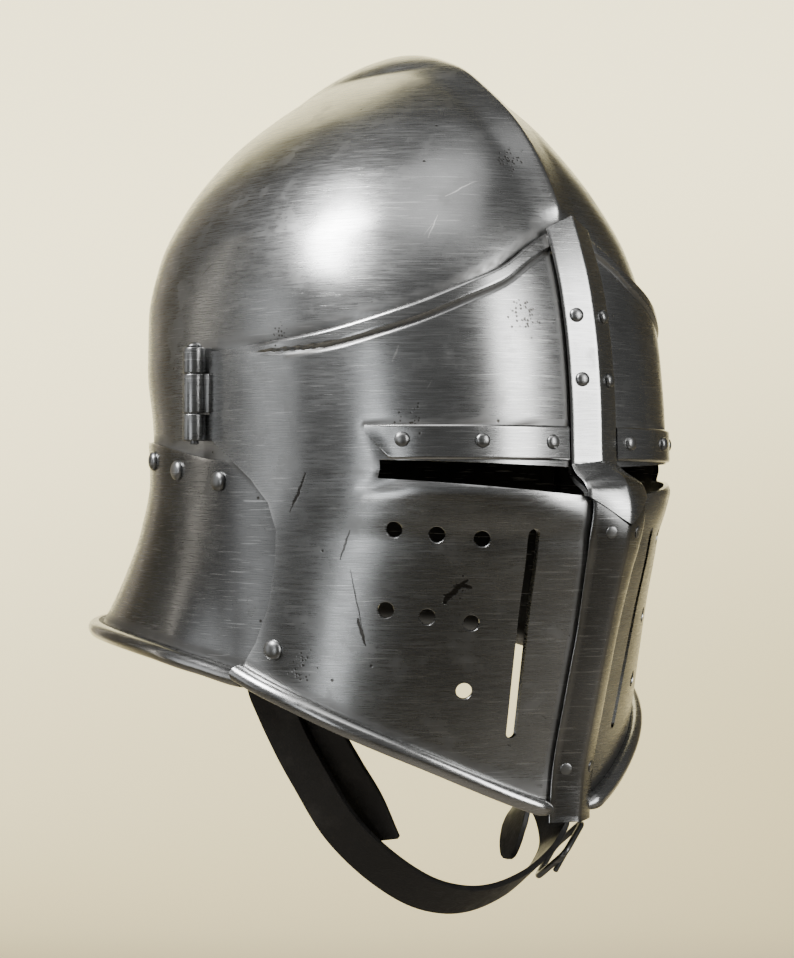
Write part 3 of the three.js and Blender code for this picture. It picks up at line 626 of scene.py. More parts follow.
def makeRivet(name, surface, turn, z, lift, radius, height):
    foot = raisedPoint(surface, turn, z, lift)
    away = (raisedPoint(surface, turn, z, lift + 0.001) - foot).normalized()
    deselectAll()
    bpy.ops.mesh.primitive_uv_sphere_add(segments=36, ring_count=24, radius=radius)
    head = bpy.context.object
    head.name = name
    with editing(head):
        bpy.ops.mesh.bisect(plane_co=(0, 0, 0), plane_no=(0, 0, 1), clear_inner=True, use_fill=True)
    for vertex in head.data.vertices:
        vertex.co.z = height * (vertex.co.z / radius)**0.8 if vertex.co.z > 0 else 0
    head.data.transform(away.to_track_quat("Z", "Y").to_matrix().to_4x4())
    head.data.transform(Matrix.Translation(foot + away * 0.00015))
    smoothShade(head, 50)
    return head


# Hinges

hinge = {
    "x": 0.1069, "y": 0.0134, "low": 0.0164, "height": 0.041, "radius": 0.005, "pin": 0.002, "gap": 0.0004,
    "middleLow": 0.29, "middleHigh": 0.72, "bevel": 0.0005, "pinSlack": 0.00035, "headRadius": 0.0033,
    "sunk": 0.0012, "leafFront": 0.0032, "leafRear": 0.0042,
}


def hingePost(x, y, low, high, radius, bevel):
    deselectAll()
    place = (x, y, (low + high) / 2)
    bpy.ops.mesh.primitive_cylinder_add(vertices=48, radius=radius, depth=high - low, location=place)
    post = bpy.context.object
    settle(post)
    applyModifier(post, "BEVEL", width=bevel, segments=3, limit_method="ANGLE", angle_limit=math.radians(50))
    return post


def hingeBlock(x0, x1, y0, y1, z0, z1):
    deselectAll()
    place = ((x0 + x1) / 2, (y0 + y1) / 2, (z0 + z1) / 2)
    bpy.ops.mesh.primitive_cube_add(size=1, location=place, scale=(abs(x1 - x0), abs(y1 - y0), abs(z1 - z0)))
    block = bpy.context.object
    settle(block)
    applyModifier(block, "BEVEL", width=hinge["bevel"], segments=2, limit_method="ANGLE")
    return block


def skullKnuckles(side):
    middleLow = hinge["low"] + hinge["middleLow"] * hinge["height"]
    middleHigh = hinge["low"] + hinge["middleHigh"] * hinge["height"]
    top = hinge["low"] + hinge["height"]
    parts = []
    x, y = side * hinge["x"], hinge["y"]
    inner = side * (skull["halfWidth"] - hinge["sunk"])
    for low, high in ((hinge["low"], middleLow - hinge["gap"] / 2), (middleHigh + hinge["gap"] / 2, top)):
        parts.append(hingePost(x, y, low, high, hinge["radius"], hinge["bevel"]))
        parts.append(hingeBlock(inner, x, y - hinge["leafFront"], y + hinge["leafRear"], low, high))
    return parts


def visorKnuckle(side):
    low = hinge["low"] + hinge["middleLow"] * hinge["height"] + hinge["gap"] / 2
    high = hinge["low"] + hinge["middleHigh"] * hinge["height"] - hinge["gap"] / 2
    inner = side * (visor["browHalf"] - visor["wall"] + 0.0001)
    outer = side * (visor["browHalf"] + 0.0016)
    knuckle = hingePost(side * hinge["x"], hinge["y"], low, high, hinge["radius"], hinge["bevel"])
    if side > 0:  # the left knuckle is a hook that slips off its pin
        half = (hinge["pin"] + hinge["pinSlack"]) / mm
        x = hinge["x"] / mm
        outline = [(x - half, 0), (x + half, 0), (x + half, 60), (x - half, 60)]
        cutWith(knuckle, prismCutter(outline, "XZ", hinge["y"], hinge["y"] + hinge["radius"] * 2))
    return [knuckle, hingeBlock(inner, outer, 0.0044, hinge["y"], low, high)]


def makePin(name, side):
    top = hinge["low"] + hinge["height"]
    stem = hingePost(side * hinge["x"], hinge["y"], hinge["low"] - 0.0016, top + 0.0004, hinge["pin"], 0.0003)
    deselectAll()
    place = (side * hinge["x"], hinge["y"], top + 0.0004)
    values = {"segments": 32, "ring_count": 20, "radius": hinge["headRadius"], "location": place}
    bpy.ops.mesh.primitive_uv_sphere_add(scale=(1, 1, 0.66), **values)
    head = bpy.context.object
    settle(head)
    with editing(head):
        bpy.ops.mesh.bisect(plane_co=place, plane_no=(0, 0, 1), clear_inner=True, use_fill=True)
    return joinPieces(name, [stem, head])


# Leather straps

straps = {
    "width": 0.021, "wall": 0.0026, "lean": (0, -0.79, 0.61),
    # middle line of each strap in mm
    "long": [(-94.2, -24, -50), (-94.4, -23.5, -68), (-93, -21, -85), (-85.5, -18.5, -101),
             (-77.4, -20.5, -118), (-70.5, -23, -131), (-57.5, -28, -153.4), (-41, -34, -171),
             (-20, -39, -185), (-2, -41.5, -190.5), (16, -41, -191.5), (39, -38, -188),
             (57, -33.5, -182.5), (68, -30, -177.5), (76.5, -26.5, -170), (77.5, -24, -160),
             (73, -23.5, -152), (65.5, -23.5, -149.5), (57.5, -24, -155.5), (51, -25, -166.5),
             (46.5, -26, -179)],
    "short": [(93.8, -24, -50), (93.8, -23.5, -68), (95, -21, -95), (95.5, -20, -125), (93.5, -20.5, -145),
              (91.2, -22.5, -157), (88.5, -24.3, -165.8)],
    "tab": [(-91, -27, -63.5), (-88.2, -30, -76), (-79, -34.5, -92), (-72, -34.5, -109), (-61, -36, -127),
            (-50, -37, -143), (-41, -37.5, -160)],
}


def centripetal(route, steps):  # points spaced evenly along a smooth line through the route
    points = [Vector(p) * mm for p in route]
    first = points[0] * 2 - points[1]
    last = points[-1] * 2 - points[-2]
    knots = [first] + points + [last]
    fine = []
    for k in range(1, len(knots) - 2):
        a, b, c, d = knots[k - 1:k + 3]
        ta = (b - a).length**0.5
        tb = (c - b).length**0.5
        tc = (d - c).length**0.5
        m1 = ((b - a) / ta - (c - a) / (ta + tb) + (c - b) / tb) * tb
        m2 = ((c - b) / tb - (d - b) / (tb + tc) + (d - c) / tc) * tb
        for j in range(24):
            t = j / 24
            fine.append(b * (2 * t**3 - 3 * t**2 + 1) + m1 * (t**3 - 2 * t**2 + t)
                        + c * (3 * t**2 - 2 * t**3) + m2 * (t**3 - t**2))
    fine.append(points[-1])
    runs = [0]
    for before, after in zip(fine, fine[1:]):
        runs.append(runs[-1] + (after - before).length)
    spaced = []
    k = 0
    for step in range(steps + 1):
        at = runs[-1] * step / steps
        while k < len(runs) - 2 and runs[k + 1] < at:
            k += 1
        spaced.append(fine[k].lerp(fine[k + 1], (at - runs[k]) / max(1e-9, runs[k + 1] - runs[k])))
    return spaced, runs[-1]


def makeStrap(name, route, width, pointed=False):
    steps = 220
    points, length = centripetal(route, steps)
    lean = Vector(straps["lean"])

    def form(across, k):
        ahead = (points[min(k + 1, steps)] - points[max(k - 1, 0)]).normalized()
        wide = (lean - ahead * lean.dot(ahead)).normalized()
        left = (steps - k) / steps * length
        narrow = 1
        if pointed:
            narrow = min(1, 0.2 + 0.8 * math.sqrt(max(0, min(1, left / 0.016))))
        return points[k] + wide * across * width / 2 * narrow

    belt = formSheet(name, [-1, -0.9, -0.6, -0.3, 0, 0.3, 0.6, 0.9, 1], range(steps + 1), form)
    applyModifier(belt, "SOLIDIFY", thickness=straps["wall"], offset=0, use_even_offset=True)
    applyModifier(belt, "BEVEL", width=0.0006, segments=3, limit_method="ANGLE", angle_limit=math.radians(55))
    smoothShade(belt, 50)
    return belt


# Buckle

buckle = {
    "centre": (78.5, -28.7, -177.6), "along": (0.8, 0.28, 0.53), "length": 24, "wire": 3, "corner": 4.5,
    "prong": 1.3, "prongGap": 0.35,
}


def buckleAxes():
    along = Vector(buckle["along"]).normalized()
    lean = Vector(straps["lean"])
    across = (lean - along * lean.dot(along)).normalized()
    return along, across, along.cross(across).normalized()


def bucklePoint(along, across, out=0):
    a, b, c = buckleAxes()
    return (Vector(buckle["centre"]) + a * along + b * across + c * out) * mm


def makeTube(name, points, radius, closed, out, sides=20):
    count = len(points)

    def form(angle, k):
        if closed:
            ahead = points[(k + 1) % (count - 1)] - points[(k - 1) % (count - 1)]
        else:
            ahead = points[min(k + 1, count - 1)] - points[max(k - 1, 0)]
        side = ahead.normalized().cross(out).normalized()
        return points[k] + (side * math.cos(angle) + out * math.sin(angle)) * radius(k)

    tube = formSheet(name, evenly(0, 2 * math.pi, sides), range(count), form)
    cleanMesh(tube, 0.000005)
    with editing(tube):
        faceOutward()
    smoothShade(tube, 50)
    return tube


def makeBuckle():
    out = buckleAxes()[2]
    halfLong = buckle["length"] / 2
    halfWide = straps["width"] / mm / 2 + buckle["wire"] * 0.9
    corner = buckle["corner"]
    points = []
    for a, b, start in ((1, 1, 0), (-1, 1, 90), (-1, -1, 180), (1, -1, 270)):
        for k in range(9):
            angle = math.radians(start + k / 8 * 90)
            points.append(bucklePoint(a * (halfLong - corner) + corner * math.cos(angle),
                                      b * (halfWide - corner) + corner * math.sin(angle)))
    points.append(points[0])
    ring = makeTube("buckle_frame_wire", points, lambda k: buckle["wire"] / 2 * mm, True, out)
    lift = buckle["wire"] / 2 + buckle["prong"] + buckle["prongGap"]
    reach = halfLong + 1
    line = [bucklePoint(mix(-reach, reach, k / 30), 0, lift) for k in range(31)]

    def prongRadius(k):  # round ends
        return buckle["prong"] * mm * math.sqrt(max(0.02, 1 - max(0, abs(k / 15 - 1) - 0.93)**2 / 0.0049))

    prong = makeTube("buckle_prong_bar", line, prongRadius, False, out)
    return ring, prong


# Materials

def newMaterial(name):
    material = bpy.data.materials.new(name)
    material.use_nodes = True
    tree = material.node_tree
    surface = tree.nodes["Principled BSDF"]
    return material, tree, surface


def addNode(tree, kind, values=None, **settings):
    made = tree.nodes.new(kind)
    for key, value in settings.items():
        setattr(made, key, value)
    for key, value in (values or {}).items():
        if isinstance(value, bpy.types.NodeSocket):
            tree.links.new(value, made.inputs[key])
        else:
            made.inputs[key].default_value = value
    return made


def mathNode(tree, operation, a, b=0.0):
    return addNode(tree, "ShaderNodeMath", {0: a, 1: b}, operation=operation).outputs[0]


def times(tree, a, b):
    return mathNode(tree, "MULTIPLY", a, b)


def plus(tree, a, b):
    return mathNode(tree, "ADD", a, b)


def minus(tree, a, b):
    return mathNode(tree, "SUBTRACT", a, b)


def larger(tree, a, b):
    return mathNode(tree, "MAXIMUM", a, b)


def vectorNode(tree, operation, a, b, output):
    return addNode(tree, "ShaderNodeVectorMath", {0: a, 1: b}, operation=operation).outputs[output]


def rampNode(tree, factor, low, high):  # 0 below low, 1 above high
    values = {"Value": factor, "From Min": low, "From Max": high}
    made = addNode(tree, "ShaderNodeMapRange", values, interpolation_type="SMOOTHSTEP", clamp=True)
    return made.outputs["Result"]


def mixColour(tree, factor, a, b):
    made = addNode(tree, "ShaderNodeMix", data_type="RGBA", clamp_factor=True)
    for key, value in ((0, factor), (6, a), (7, b)):
        if isinstance(value, bpy.types.NodeSocket):
            tree.links.new(value, made.inputs[key])
        else:
            made.inputs[key].default_value = value if key == 0 else (*value, 1)
    return made.outputs[2]


def placeNode(tree, scale, turn=(0, 0, 0), shift=(0, 0, 0)):
    coordinates = addNode(tree, "ShaderNodeTexCoord").outputs["Object"]
    turned = tuple(math.radians(angle) for angle in turn)
    values = {"Vector": coordinates, "Scale": scale, "Rotation": turned, "Location": shift}
    return addNode(tree, "ShaderNodeMapping", values).outputs["Vector"]


def noiseNode(tree, place, scale, detail=4, roughness=0.55, distortion=0.0):
    values = {"Vector": place, "Scale": scale, "Detail": detail, "Roughness": roughness,
              "Distortion": distortion}
    return addNode(tree, "ShaderNodeTexNoise", values).outputs["Fac"]


def attributeNode(tree, name):
    return addNode(tree, "ShaderNodeAttribute", attribute_name=name).outputs["Fac"]


steelLook = {
    "bright": (0.46, 0.464, 0.463), "plain": (0.34, 0.342, 0.34), "stain": (0.16, 0.15, 0.135),
    # the near-black colour below darkens pits and gouges, and is also laid on as painted shade, with some
    # grime, in creases and gaps
    "shadeAndGrime": (0.045, 0.038, 0.03), "worn": (0.78, 0.775, 0.76), "hairline": (0.8, 0.8, 0.79),
    "scratch": (0.85, 0.84, 0.82), "roughness": 0.27,
    # how strongly each shows in the colour
    "blotchShare": 0.16, "grainShare": 0.04, "hairlineShare": 0.4, "wornShare": 0.75, "scratchShare": 0.8,
    "pitShare": 0.85, "shadeAndGrimeShare": 0.9,
    # relief in metres: grain with scratches and pits, and the soft dents of the plate
    "grainRelief": 0.00002, "dentRelief": 0.0016,
    # cells for each metre, share of cells with a pit, size of a pit in cells
    "clusterPits": (800, 0.7, 0.52), "lonePits": (210, 0.04, 0.17),
}

# marks on the plates: surface, both ends as turn in degrees and height in mm, width in mm, and strength,
# which is below 0 for a bright scratch
marks = [
    ("visor", (-71.8, -15.1), (-71.0, 1.7), 1.1, 1.0), ("visor", (-58.6, -34.7), (-57.4, -22.1), 0.6, 0.8),
    ("visor", (-56.1, -38.9), (-50.9, -70.2), 0.35, 0.7), ("visor", (-53.2, -59.0), (-50.9, -71.0), 1.1, 1.0),
    ("visor", (-35.2, -51.2), (-31.5, -42.5), 1.8, 1.0), ("visor", (-33.8, -45.0), (-30.2, -46.0), 1.6, 1.0),
    ("visor", (-35.6, -52.6), (-34.0, -48.0), 2.2, 1.0), ("visor", (-10.6, -100.5), (-9.0, -103.0), 0.5, 0.6),
    ("visor", (-17.4, -112.4), (-16.4, -114.0), 0.6, 0.7), ("visor", (-51.3, 47.5), (-49.5, 54.5), 0.7, -1.0),
    ("visor", (-44.0, 36.0), (-42.6, 40.0), 0.4, -0.8), ("visor", (30.0, -40.0), (34.0, -52.0), 0.6, 0.8),
    ("visor", (52.0, -20.0), (57.0, -33.0), 0.5, 0.7), ("skull", (-29.2, 119.4), (-20.4, 126.9), 0.5, -1.0),
    ("skull", (-34.1, 100.4), (-31.4, 110.8), 0.5, -1.0),
    ("skull", (-35.0, 101.5), (-32.8, 107.0), 0.35, -0.8),
    ("skull", (-104.0, 90.0), (-98.0, 96.0), 0.5, 0.6), ("skull", (48.0, 92.0), (57.0, 99.0), 0.5, -0.8),
    ("skull", (150.0, 60.0), (158.0, 72.0), 0.5, -0.9),
]
# clusters of rust pits: surface, turn, height, radius in mm
pitSpots = [("visor", -17.9, 67.8, 11), ("visor", -65.8, -80.5, 9), ("skull", -8.3, 137.9, 10),
            ("visor", -33.0, -47.0, 8), ("visor", -48.0, 22.0, 10), ("skull", -70.0, 60.0, 9),
            ("skull", 120.0, 100.0, 12), ("visor", 40.0, 50.0, 10)]
surfaces = {"visor": visorPoint, "skull": skullPoint}


def markMasks(tree):  # dark gouges and fresh bright scratches, each along its own line
    place = addNode(tree, "ShaderNodeTexCoord").outputs["Object"]
    wobble = noiseNode(tree, place, 220, 2)
    dark, bright = None, None
    for surface, start, end, width, strength in marks:
        a = surfaces[surface](math.radians(start[0]), start[1] * mm)
        b = surfaces[surface](math.radians(end[0]), end[1] * mm)
        along = (b - a).normalized()
        middle = (a + b) / 2
        outward = Vector((middle.x, middle.y, 0)).normalized()
        aside = outward.cross(along).normalized()
        offset = vectorNode(tree, "SUBTRACT", place, middle, "Vector")
        axes = (along, aside, outward)
        run, wide, deep = [vectorNode(tree, "DOT_PRODUCT", offset, axis, "Value") for axis in axes]
        near = mathNode(tree, "LESS_THAN", mathNode(tree, "ABSOLUTE", deep), 0.008)
        wander = times(tree, minus(tree, wobble, 0.5), width * mm * 2.0)
        apart = mathNode(tree, "ABSOLUTE", plus(tree, wide, wander))
        half = (b - a).length / 2
        share = mathNode(tree, "ABSOLUTE", mathNode(tree, "DIVIDE", run, half))
        taper = times(tree, share, width * mm * 0.4)
        reach = minus(tree, width * mm * 0.75, taper)
        past = rampNode(tree, minus(tree, apart, reach), -0.00025, 0.00008)
        mask = minus(tree, 1.0, past)
        mask = times(tree, mathNode(tree, "LESS_THAN", share, 1.0), mask)
        mask = times(tree, times(tree, mask, near), abs(strength))
        if strength > 0:
            dark = mask if dark is None else larger(tree, dark, mask)
        else:
            bright = mask if bright is None else larger(tree, bright, mask)
    return dark, bright


def spotMask(tree):  # 1 in the middle of each cluster of pits
    place = addNode(tree, "ShaderNodeTexCoord").outputs["Object"]
    total = None
    for surface, turn, z, radius in pitSpots:
        centre = surfaces[surface](math.radians(turn), z * mm)
        away = vectorNode(tree, "DISTANCE", place, centre, "Value")
        mask = minus(tree, 1.0, rampNode(tree, away, 0, radius * mm))
        total = mask if total is None else larger(tree, total, mask)
    return total


def scratchField(tree, turn, shift, rarity):  # sparse fine hairline scratches along one direction
    place = placeNode(tree, (45, 45, 1500), turn, shift)
    field = noiseNode(tree, place, 1.0, 1, 0.4)
    return rampNode(tree, field, rarity, rarity + 0.03)


def pitField(tree, scale, share, size):  # round spots in a share of the cells
    place = placeNode(tree, (1, 1, 1))
    values = {"Vector": place, "Scale": scale, "Randomness": 1.0}
    cells = addNode(tree, "ShaderNodeTexVoronoi", values, feature="F1")
    chosen = addNode(tree, "ShaderNodeSeparateColor", {"Color": cells.outputs["Color"]}).outputs["Red"]
    picked = mathNode(tree, "LESS_THAN", chosen, share)
    spot = minus(tree, 1.0, rampNode(tree, cells.outputs["Distance"], size * 0.5, size))
    return times(tree, picked, spot)


def makeSteel(name, tone=1.0, roughness=None, tilt=0, grain=1.0, marked=False):
    material, tree, surface = newMaterial(name)
    base = placeNode(tree, (1, 1, 1))
    clouds = rampNode(tree, noiseNode(tree, base, 16, 5, 0.6), 0.36, 0.68)
    blotch = rampNode(tree, noiseNode(tree, base, 60, 6, 0.62), 0.54, 0.74)
    grit = noiseNode(tree, base, 900, 3, 0.6)
    hairs = noiseNode(tree, placeNode(tree, (130, 130, 3000), (0, tilt, 0)), 1.0, 5, 0.6)
    hairsTwo = noiseNode(tree, placeNode(tree, (80, 80, 2600), (38, tilt + 34, 8)), 1.0, 4, 0.6)
    hairsThree = noiseNode(tree, placeNode(tree, (70, 70, 2600), (-30, tilt - 40, 15)), 1.0, 4, 0.6)
    wear = attributeNode(tree, "wear")
    # painted shade, with some grime, written on the vertices of each plate
    shadeAndGrime = attributeNode(tree, "shadeAndGrime")
    plain = [v * tone for v in steelLook["plain"]]
    light = [v * tone for v in steelLook["bright"]]
    colour = mixColour(tree, clouds, plain, light)
    colour = mixColour(tree, times(tree, blotch, steelLook["blotchShare"]), colour, steelLook["stain"])
    hairShade = rampNode(tree, hairs, 0.3, 0.7)
    grainShare = steelLook["grainShare"] * grain
    colour = mixColour(tree, times(tree, hairShade, grainShare), colour, steelLook["stain"])
    fresh = larger(tree, scratchField(tree, (14, tilt + 12, 0), (1, 2, 3), 0.7),
                   scratchField(tree, (-20, tilt - 36, 20), (4, 1, 7), 0.71))
    fresh = larger(tree, fresh, scratchField(tree, (35, tilt + 64, 10), (9, 5, 2), 0.72))
    colour = mixColour(tree, times(tree, fresh, steelLook["hairlineShare"]), colour, steelLook["hairline"])
    colour = mixColour(tree, times(tree, wear, steelLook["wornShare"]), colour, steelLook["worn"])
    allPits = pitField(tree, *steelLook["lonePits"])
    if marked:
        scale, share, size = steelLook["clusterPits"]
        allPits = larger(tree, pitField(tree, scale, times(tree, spotMask(tree), share), size), allPits)
        dark, bright = markMasks(tree)
        allPits = larger(tree, allPits, dark)
        fresh = larger(tree, fresh, bright)
        colour = mixColour(tree, times(tree, bright, steelLook["scratchShare"]), colour, steelLook["scratch"])
    colour = mixColour(tree, times(tree, allPits, steelLook["pitShare"]), colour, steelLook["shadeAndGrime"])
    # painted shade with some grime: darker in grooves, beside bands and where one plate meets another
    colour = mixColour(tree, times(tree, shadeAndGrime, steelLook["shadeAndGrimeShare"]), colour, steelLook["shadeAndGrime"])
    tree.links.new(colour, surface.inputs["Base Color"])
    surface.inputs["Metallic"].default_value = 1.0
    rough = steelLook["roughness"] if roughness is None else roughness
    values = {"Value": hairsTwo, "From Min": 0.3, "From Max": 0.7, "To Min": rough - 0.05,
              "To Max": rough + 0.06}
    roughNode = addNode(tree, "ShaderNodeMapRange", values).outputs["Result"]
    roughNode = plus(tree, roughNode, times(tree, blotch, 0.08))
    roughNode = plus(tree, roughNode, times(tree, shadeAndGrime, 0.35))
    roughNode = minus(tree, roughNode, times(tree, wear, 0.08))
    tree.links.new(roughNode, surface.inputs["Roughness"])
    height = times(tree, hairs, 0.42 * grain)
    height = plus(tree, height, times(tree, hairsTwo, 0.6 * grain))
    height = plus(tree, height, times(tree, hairsThree, 0.6 * grain))
    height = plus(tree, height, times(tree, grit, 0.25))
    height = minus(tree, height, times(tree, fresh, 0.6))
    height = minus(tree, height, times(tree, allPits, 6.0))
    dents = noiseNode(tree, base, 26, 2, 0.5)
    values = {"Height": height, "Strength": 0.5, "Distance": steelLook["grainRelief"]}
    fine = addNode(tree, "ShaderNodeBump", values).outputs["Normal"]
    values = {"Height": dents, "Strength": 0.25, "Distance": steelLook["dentRelief"], "Normal": fine}
    wide = addNode(tree, "ShaderNodeBump", values).outputs["Normal"]
    tree.links.new(wide, surface.inputs["Normal"])
    return material


leatherLook = {
    "deep": (0.008, 0.0075, 0.007), "plain": (0.022, 0.02, 0.018), "worn": (0.05, 0.044, 0.038),
    "wornShare": 0.5, "cells": 950, "relief": 0.0002, "sheen": 0.45,
}


def makeLeather(name):
    material, tree, surface = newMaterial(name)
    base = placeNode(tree, (1, 1, 1))
    values = {"Vector": base, "Scale": leatherLook["cells"]}
    cells = addNode(tree, "ShaderNodeTexVoronoi", values, feature="SMOOTH_F1")
    creases = noiseNode(tree, base, 240, 6, 0.6, 0.8)
    worn = rampNode(tree, noiseNode(tree, base, 70, 5, 0.6), 0.5, 0.8)
    colour = mixColour(tree, creases, leatherLook["deep"], leatherLook["plain"])
    colour = mixColour(tree, times(tree, worn, leatherLook["wornShare"]), colour, leatherLook["worn"])
    tree.links.new(colour, surface.inputs["Base Color"])
    values = {"Value": creases, "From Min": 0.3, "From Max": 0.7, "To Min": 0.42, "To Max": 0.6}
    tree.links.new(addNode(tree, "ShaderNodeMapRange", values).outputs["Result"], surface.inputs["Roughness"])
    height = plus(tree, cells.outputs["Distance"], times(tree, creases, 1.4))
    values = {"Height": height, "Strength": 0.5, "Distance": leatherLook["relief"]}
    bump = addNode(tree, "ShaderNodeBump", values)
    tree.links.new(bump.outputs["Normal"], surface.inputs["Normal"])
    surface.inputs["Specular IOR Level"].default_value = leatherLook["sheen"]
    return material


def paint(piece, attribute, shade):  # writes a value from 0 to 1 at every vertex
    layer = piece.data.attributes.get(attribute) or piece.data.attributes.new(attribute, "FLOAT", "POINT")
    for k, vertex in enumerate(piece.data.vertices):
        layer.data[k].value = min(1, max(0, shade(vertex.co)))


def darkenInside(piece, material, middle):  # the inner faces of a plate, unpolished and coloured near black as painted shade
    piece.data.materials.append(material)
    for face in piece.data.polygons:
        outward = face.center - Vector(middle(face.center))
        face.material_index = 1 if face.normal.dot(outward.normalized()) < -0.3 else 0


def dress(piece, material, body, slotName, *nodes):
    piece.data.materials.clear()
    piece.data.materials.append(material)
    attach(piece, body)
    if nodes:
        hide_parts(*nodes)


# Wear at the edges, and painted shade with some grime in creases and gaps, written on the vertices

def bell(value, width):
    return math.exp(-(value / width)**2)


def turnOf(surface, point):
    if surface == "visor":
        width = visor["browHalf"] if point.z > 0 else visor["halfWidth"]
        return math.asin(min(1, max(-1, point.x / width)))
    return math.atan2(point.x, -point.y)


def edgeDistance(outline, y, z):  # from a point to an outline in the Y-Z plane, all in mm
    best = 1000
    shown = outline[:-2]
    for (y0, z0), (y1, z1) in zip(shown, shown[1:]):
        run = (y1 - y0)**2 + (z1 - z0)**2
        share = min(1, max(0, ((y - y0) * (y1 - y0) + (z - z0) * (z1 - z0)) / run))
        best = min(best, math.hypot(y - y0 - share * (y1 - y0), z - z0 - share * (z1 - z0)))
    return best


def visorWear(point):
    turn = turnOf("visor", point)
    down = visorTop(turn) - point.z
    width = visor["borderWidth"]
    value = 0.5 * bell(down, 0.0009) + 0.25 * bell(down - width * 0.45, 0.002)
    value += 0.3 * bell(edgeDistance(visor["rearEdge"], point.y / mm, point.z / mm), 0.9)
    value += 0.6 * bell(point.z - visorFoot(turn) + 0.0005, 0.0036)
    if abs(math.degrees(turn)) < 56:
        value += 0.5 * bell(point.z + 0.0085, 0.0018)
    return value


# painted shade on the visor, with some grime: darker in the groove under the border, above the rolled rim,
# beside the nasal band and chin strip, and above the brow bands
def visorShadeAndGrime(point):
    turn = turnOf("visor", point)
    down = visorTop(turn) - point.z
    x = abs(point.x)
    value = 0.7 * bell(down - visor["borderWidth"] * 1.15, 0.0009) * (abs(math.degrees(turn)) < 76)
    value += 0.35 * bell(point.z - visorFoot(turn) - 0.0058, 0.0018)
    if point.z > -0.01:
        value += 0.75 * bell(x - nasalHalfAt(point.z) - 0.0006, 0.0013)
    else:
        value += 0.6 * bell(x - stripHalfAt(point.z) - 0.0006, 0.0013)
    if abs(math.degrees(turn)) < 59:
        value += 0.7 * bell(point.z - band["browTop"] - 0.0006, 0.0012)
    return value


def skullWear(point):
    keel = bell(point.x, 0.0022) * smoothStep(point.z, 0.04, 0.1)
    return 0.9 * keel


# painted shade on the skull, with some grime: a dark line above the neck guard's top edge and above the
# visor's top edge, and darkening around the hinges
def skullShadeAndGrime(point):
    turn = turnOf("skull", point)
    value = 0.5 * bell(point.z - guardTop(turn) - 0.0006, 0.0016) * (abs(math.degrees(turn)) > 80)
    browTurn = math.asin(min(1, max(-1, point.x / visor["browHalf"])))
    if point.y < 0.006:
        value += 0.6 * bell(point.z - visorTop(browTurn) - 0.0008, 0.0016)
    fromHinge = math.hypot(abs(point.x) - hinge["x"], point.y - hinge["y"])
    return value + 0.5 * bell(fromHinge, 0.008) * (point.z < 0.062)


def guardWear(point):
    turn = turnOf("guard", point)
    turn = turn if turn >= 0 else turn + 2 * math.pi
    value = 0.7 * bell(point.z - guardTop(turn), 0.0011)
    return value + 0.6 * bell(point.z - guardFoot(turn) + 0.0005, 0.0036)


# painted shade on the neck guard: darker above the rolled rim, and a painted shadow along the visor's rear
# edge where the visor lies over the guard
def guardShadeAndGrime(point):
    turn = turnOf("guard", point)
    turn = turn if turn >= 0 else turn + 2 * math.pi
    value = 0.45 * bell(point.z - guardFoot(turn) - 0.0062, 0.002)
    value += 0.9 * bell(edgeDistance(visor["rearEdge"], point.y / mm, point.z / mm), 2.4)
    return value


def bandWear(point):
    value = 0.55 * bell(point.x, 0.0012) if point.z < 0.12 else 0
    if abs(point.x) > 0.0145 and point.z > 0.004:
        near = min(abs(point.z - band["browTop"]), abs(point.z - band["browTop"] + band["browHeight"]))
        return 0.6 * bell(near, 0.0011)
    half = nasalHalfAt(point.z) if point.z > -0.0145 else stripHalfAt(point.z)
    return value + 0.6 * bell(abs(point.x) - half, 0.0011)


# Build

plateSteel = makeSteel("plate_steel", marked=True)
# the plate steel coloured darker as painted shade, for the neck guard and the chin strip
shadedGuardSteel = makeSteel("shaded_guard_steel", 0.62, 0.25, 70)
bandSteel = makeSteel("band_steel", 1.08, 0.25, 15, 0.8)
rivetSteel = makeSteel("rivet_steel", 0.8, 0.34, 30, 0.5)
hingeSteel = makeSteel("hinge_steel", 0.8, 0.3, 80, 0.4)
darkSteel = makeSteel("dark_steel", 0.42, 0.36, 0, 0.5)
# the inside of the plates: rough steel coloured near black as painted shade
shadedInsideSteel = makeSteel("shaded_inside_steel", 0.12, 0.6, 0, 0.5)
leather = makeLeather("black_leather")

skullPiece = makeSkull()
skullPiece.name = "skull_shell"
paint(skullPiece, "wear", skullWear)
# the skull's painted shade, with some grime
paint(skullPiece, "shadeAndGrime", skullShadeAndGrime)
smoothShade(skullPiece)
dress(skullPiece, plateSteel, "helmet", "steel", "skull")
darkenInside(skullPiece, shadedInsideSteel, lambda point: (0, 0, min(point.z, 0.08)))
print("skull made")

guardPiece = makeGuard()
paint(guardPiece, "wear", guardWear)
# the neck guard's painted shade and painted shadow
paint(guardPiece, "shadeAndGrime", guardShadeAndGrime)
smoothShade(guardPiece)
dress(guardPiece, shadedGuardSteel, "helmet", "steel", "neck_guard")
darkenInside(guardPiece, shadedInsideSteel, lambda point: (0, 0.02, point.z))
print("neck guard made")

visorPiece = makeVisor()
visorPiece.name = "visor_shell"
paint(visorPiece, "wear", visorWear)
# the visor's painted shade, with some grime
paint(visorPiece, "shadeAndGrime", visorShadeAndGrime)
smoothShade(visorPiece)
dress(visorPiece, plateSteel, "visor", "steel", "visor")
darkenInside(visorPiece, shadedInsideSteel, lambda point: (0, 0, point.z))
print("visor made")

for label, side in (("right", -1), ("left", 1)):
    for name, parts, body in ((f"skull_knuckles_{label}", skullKnuckles(side), "helmet"),
                              (f"visor_knuckle_{label}", visorKnuckle(side), "visor")):
        barrel = joinPieces(name, parts)
        smoothShade(barrel, 40)
        dress(barrel, hingeSteel, body, "steel")
print("hinges made")

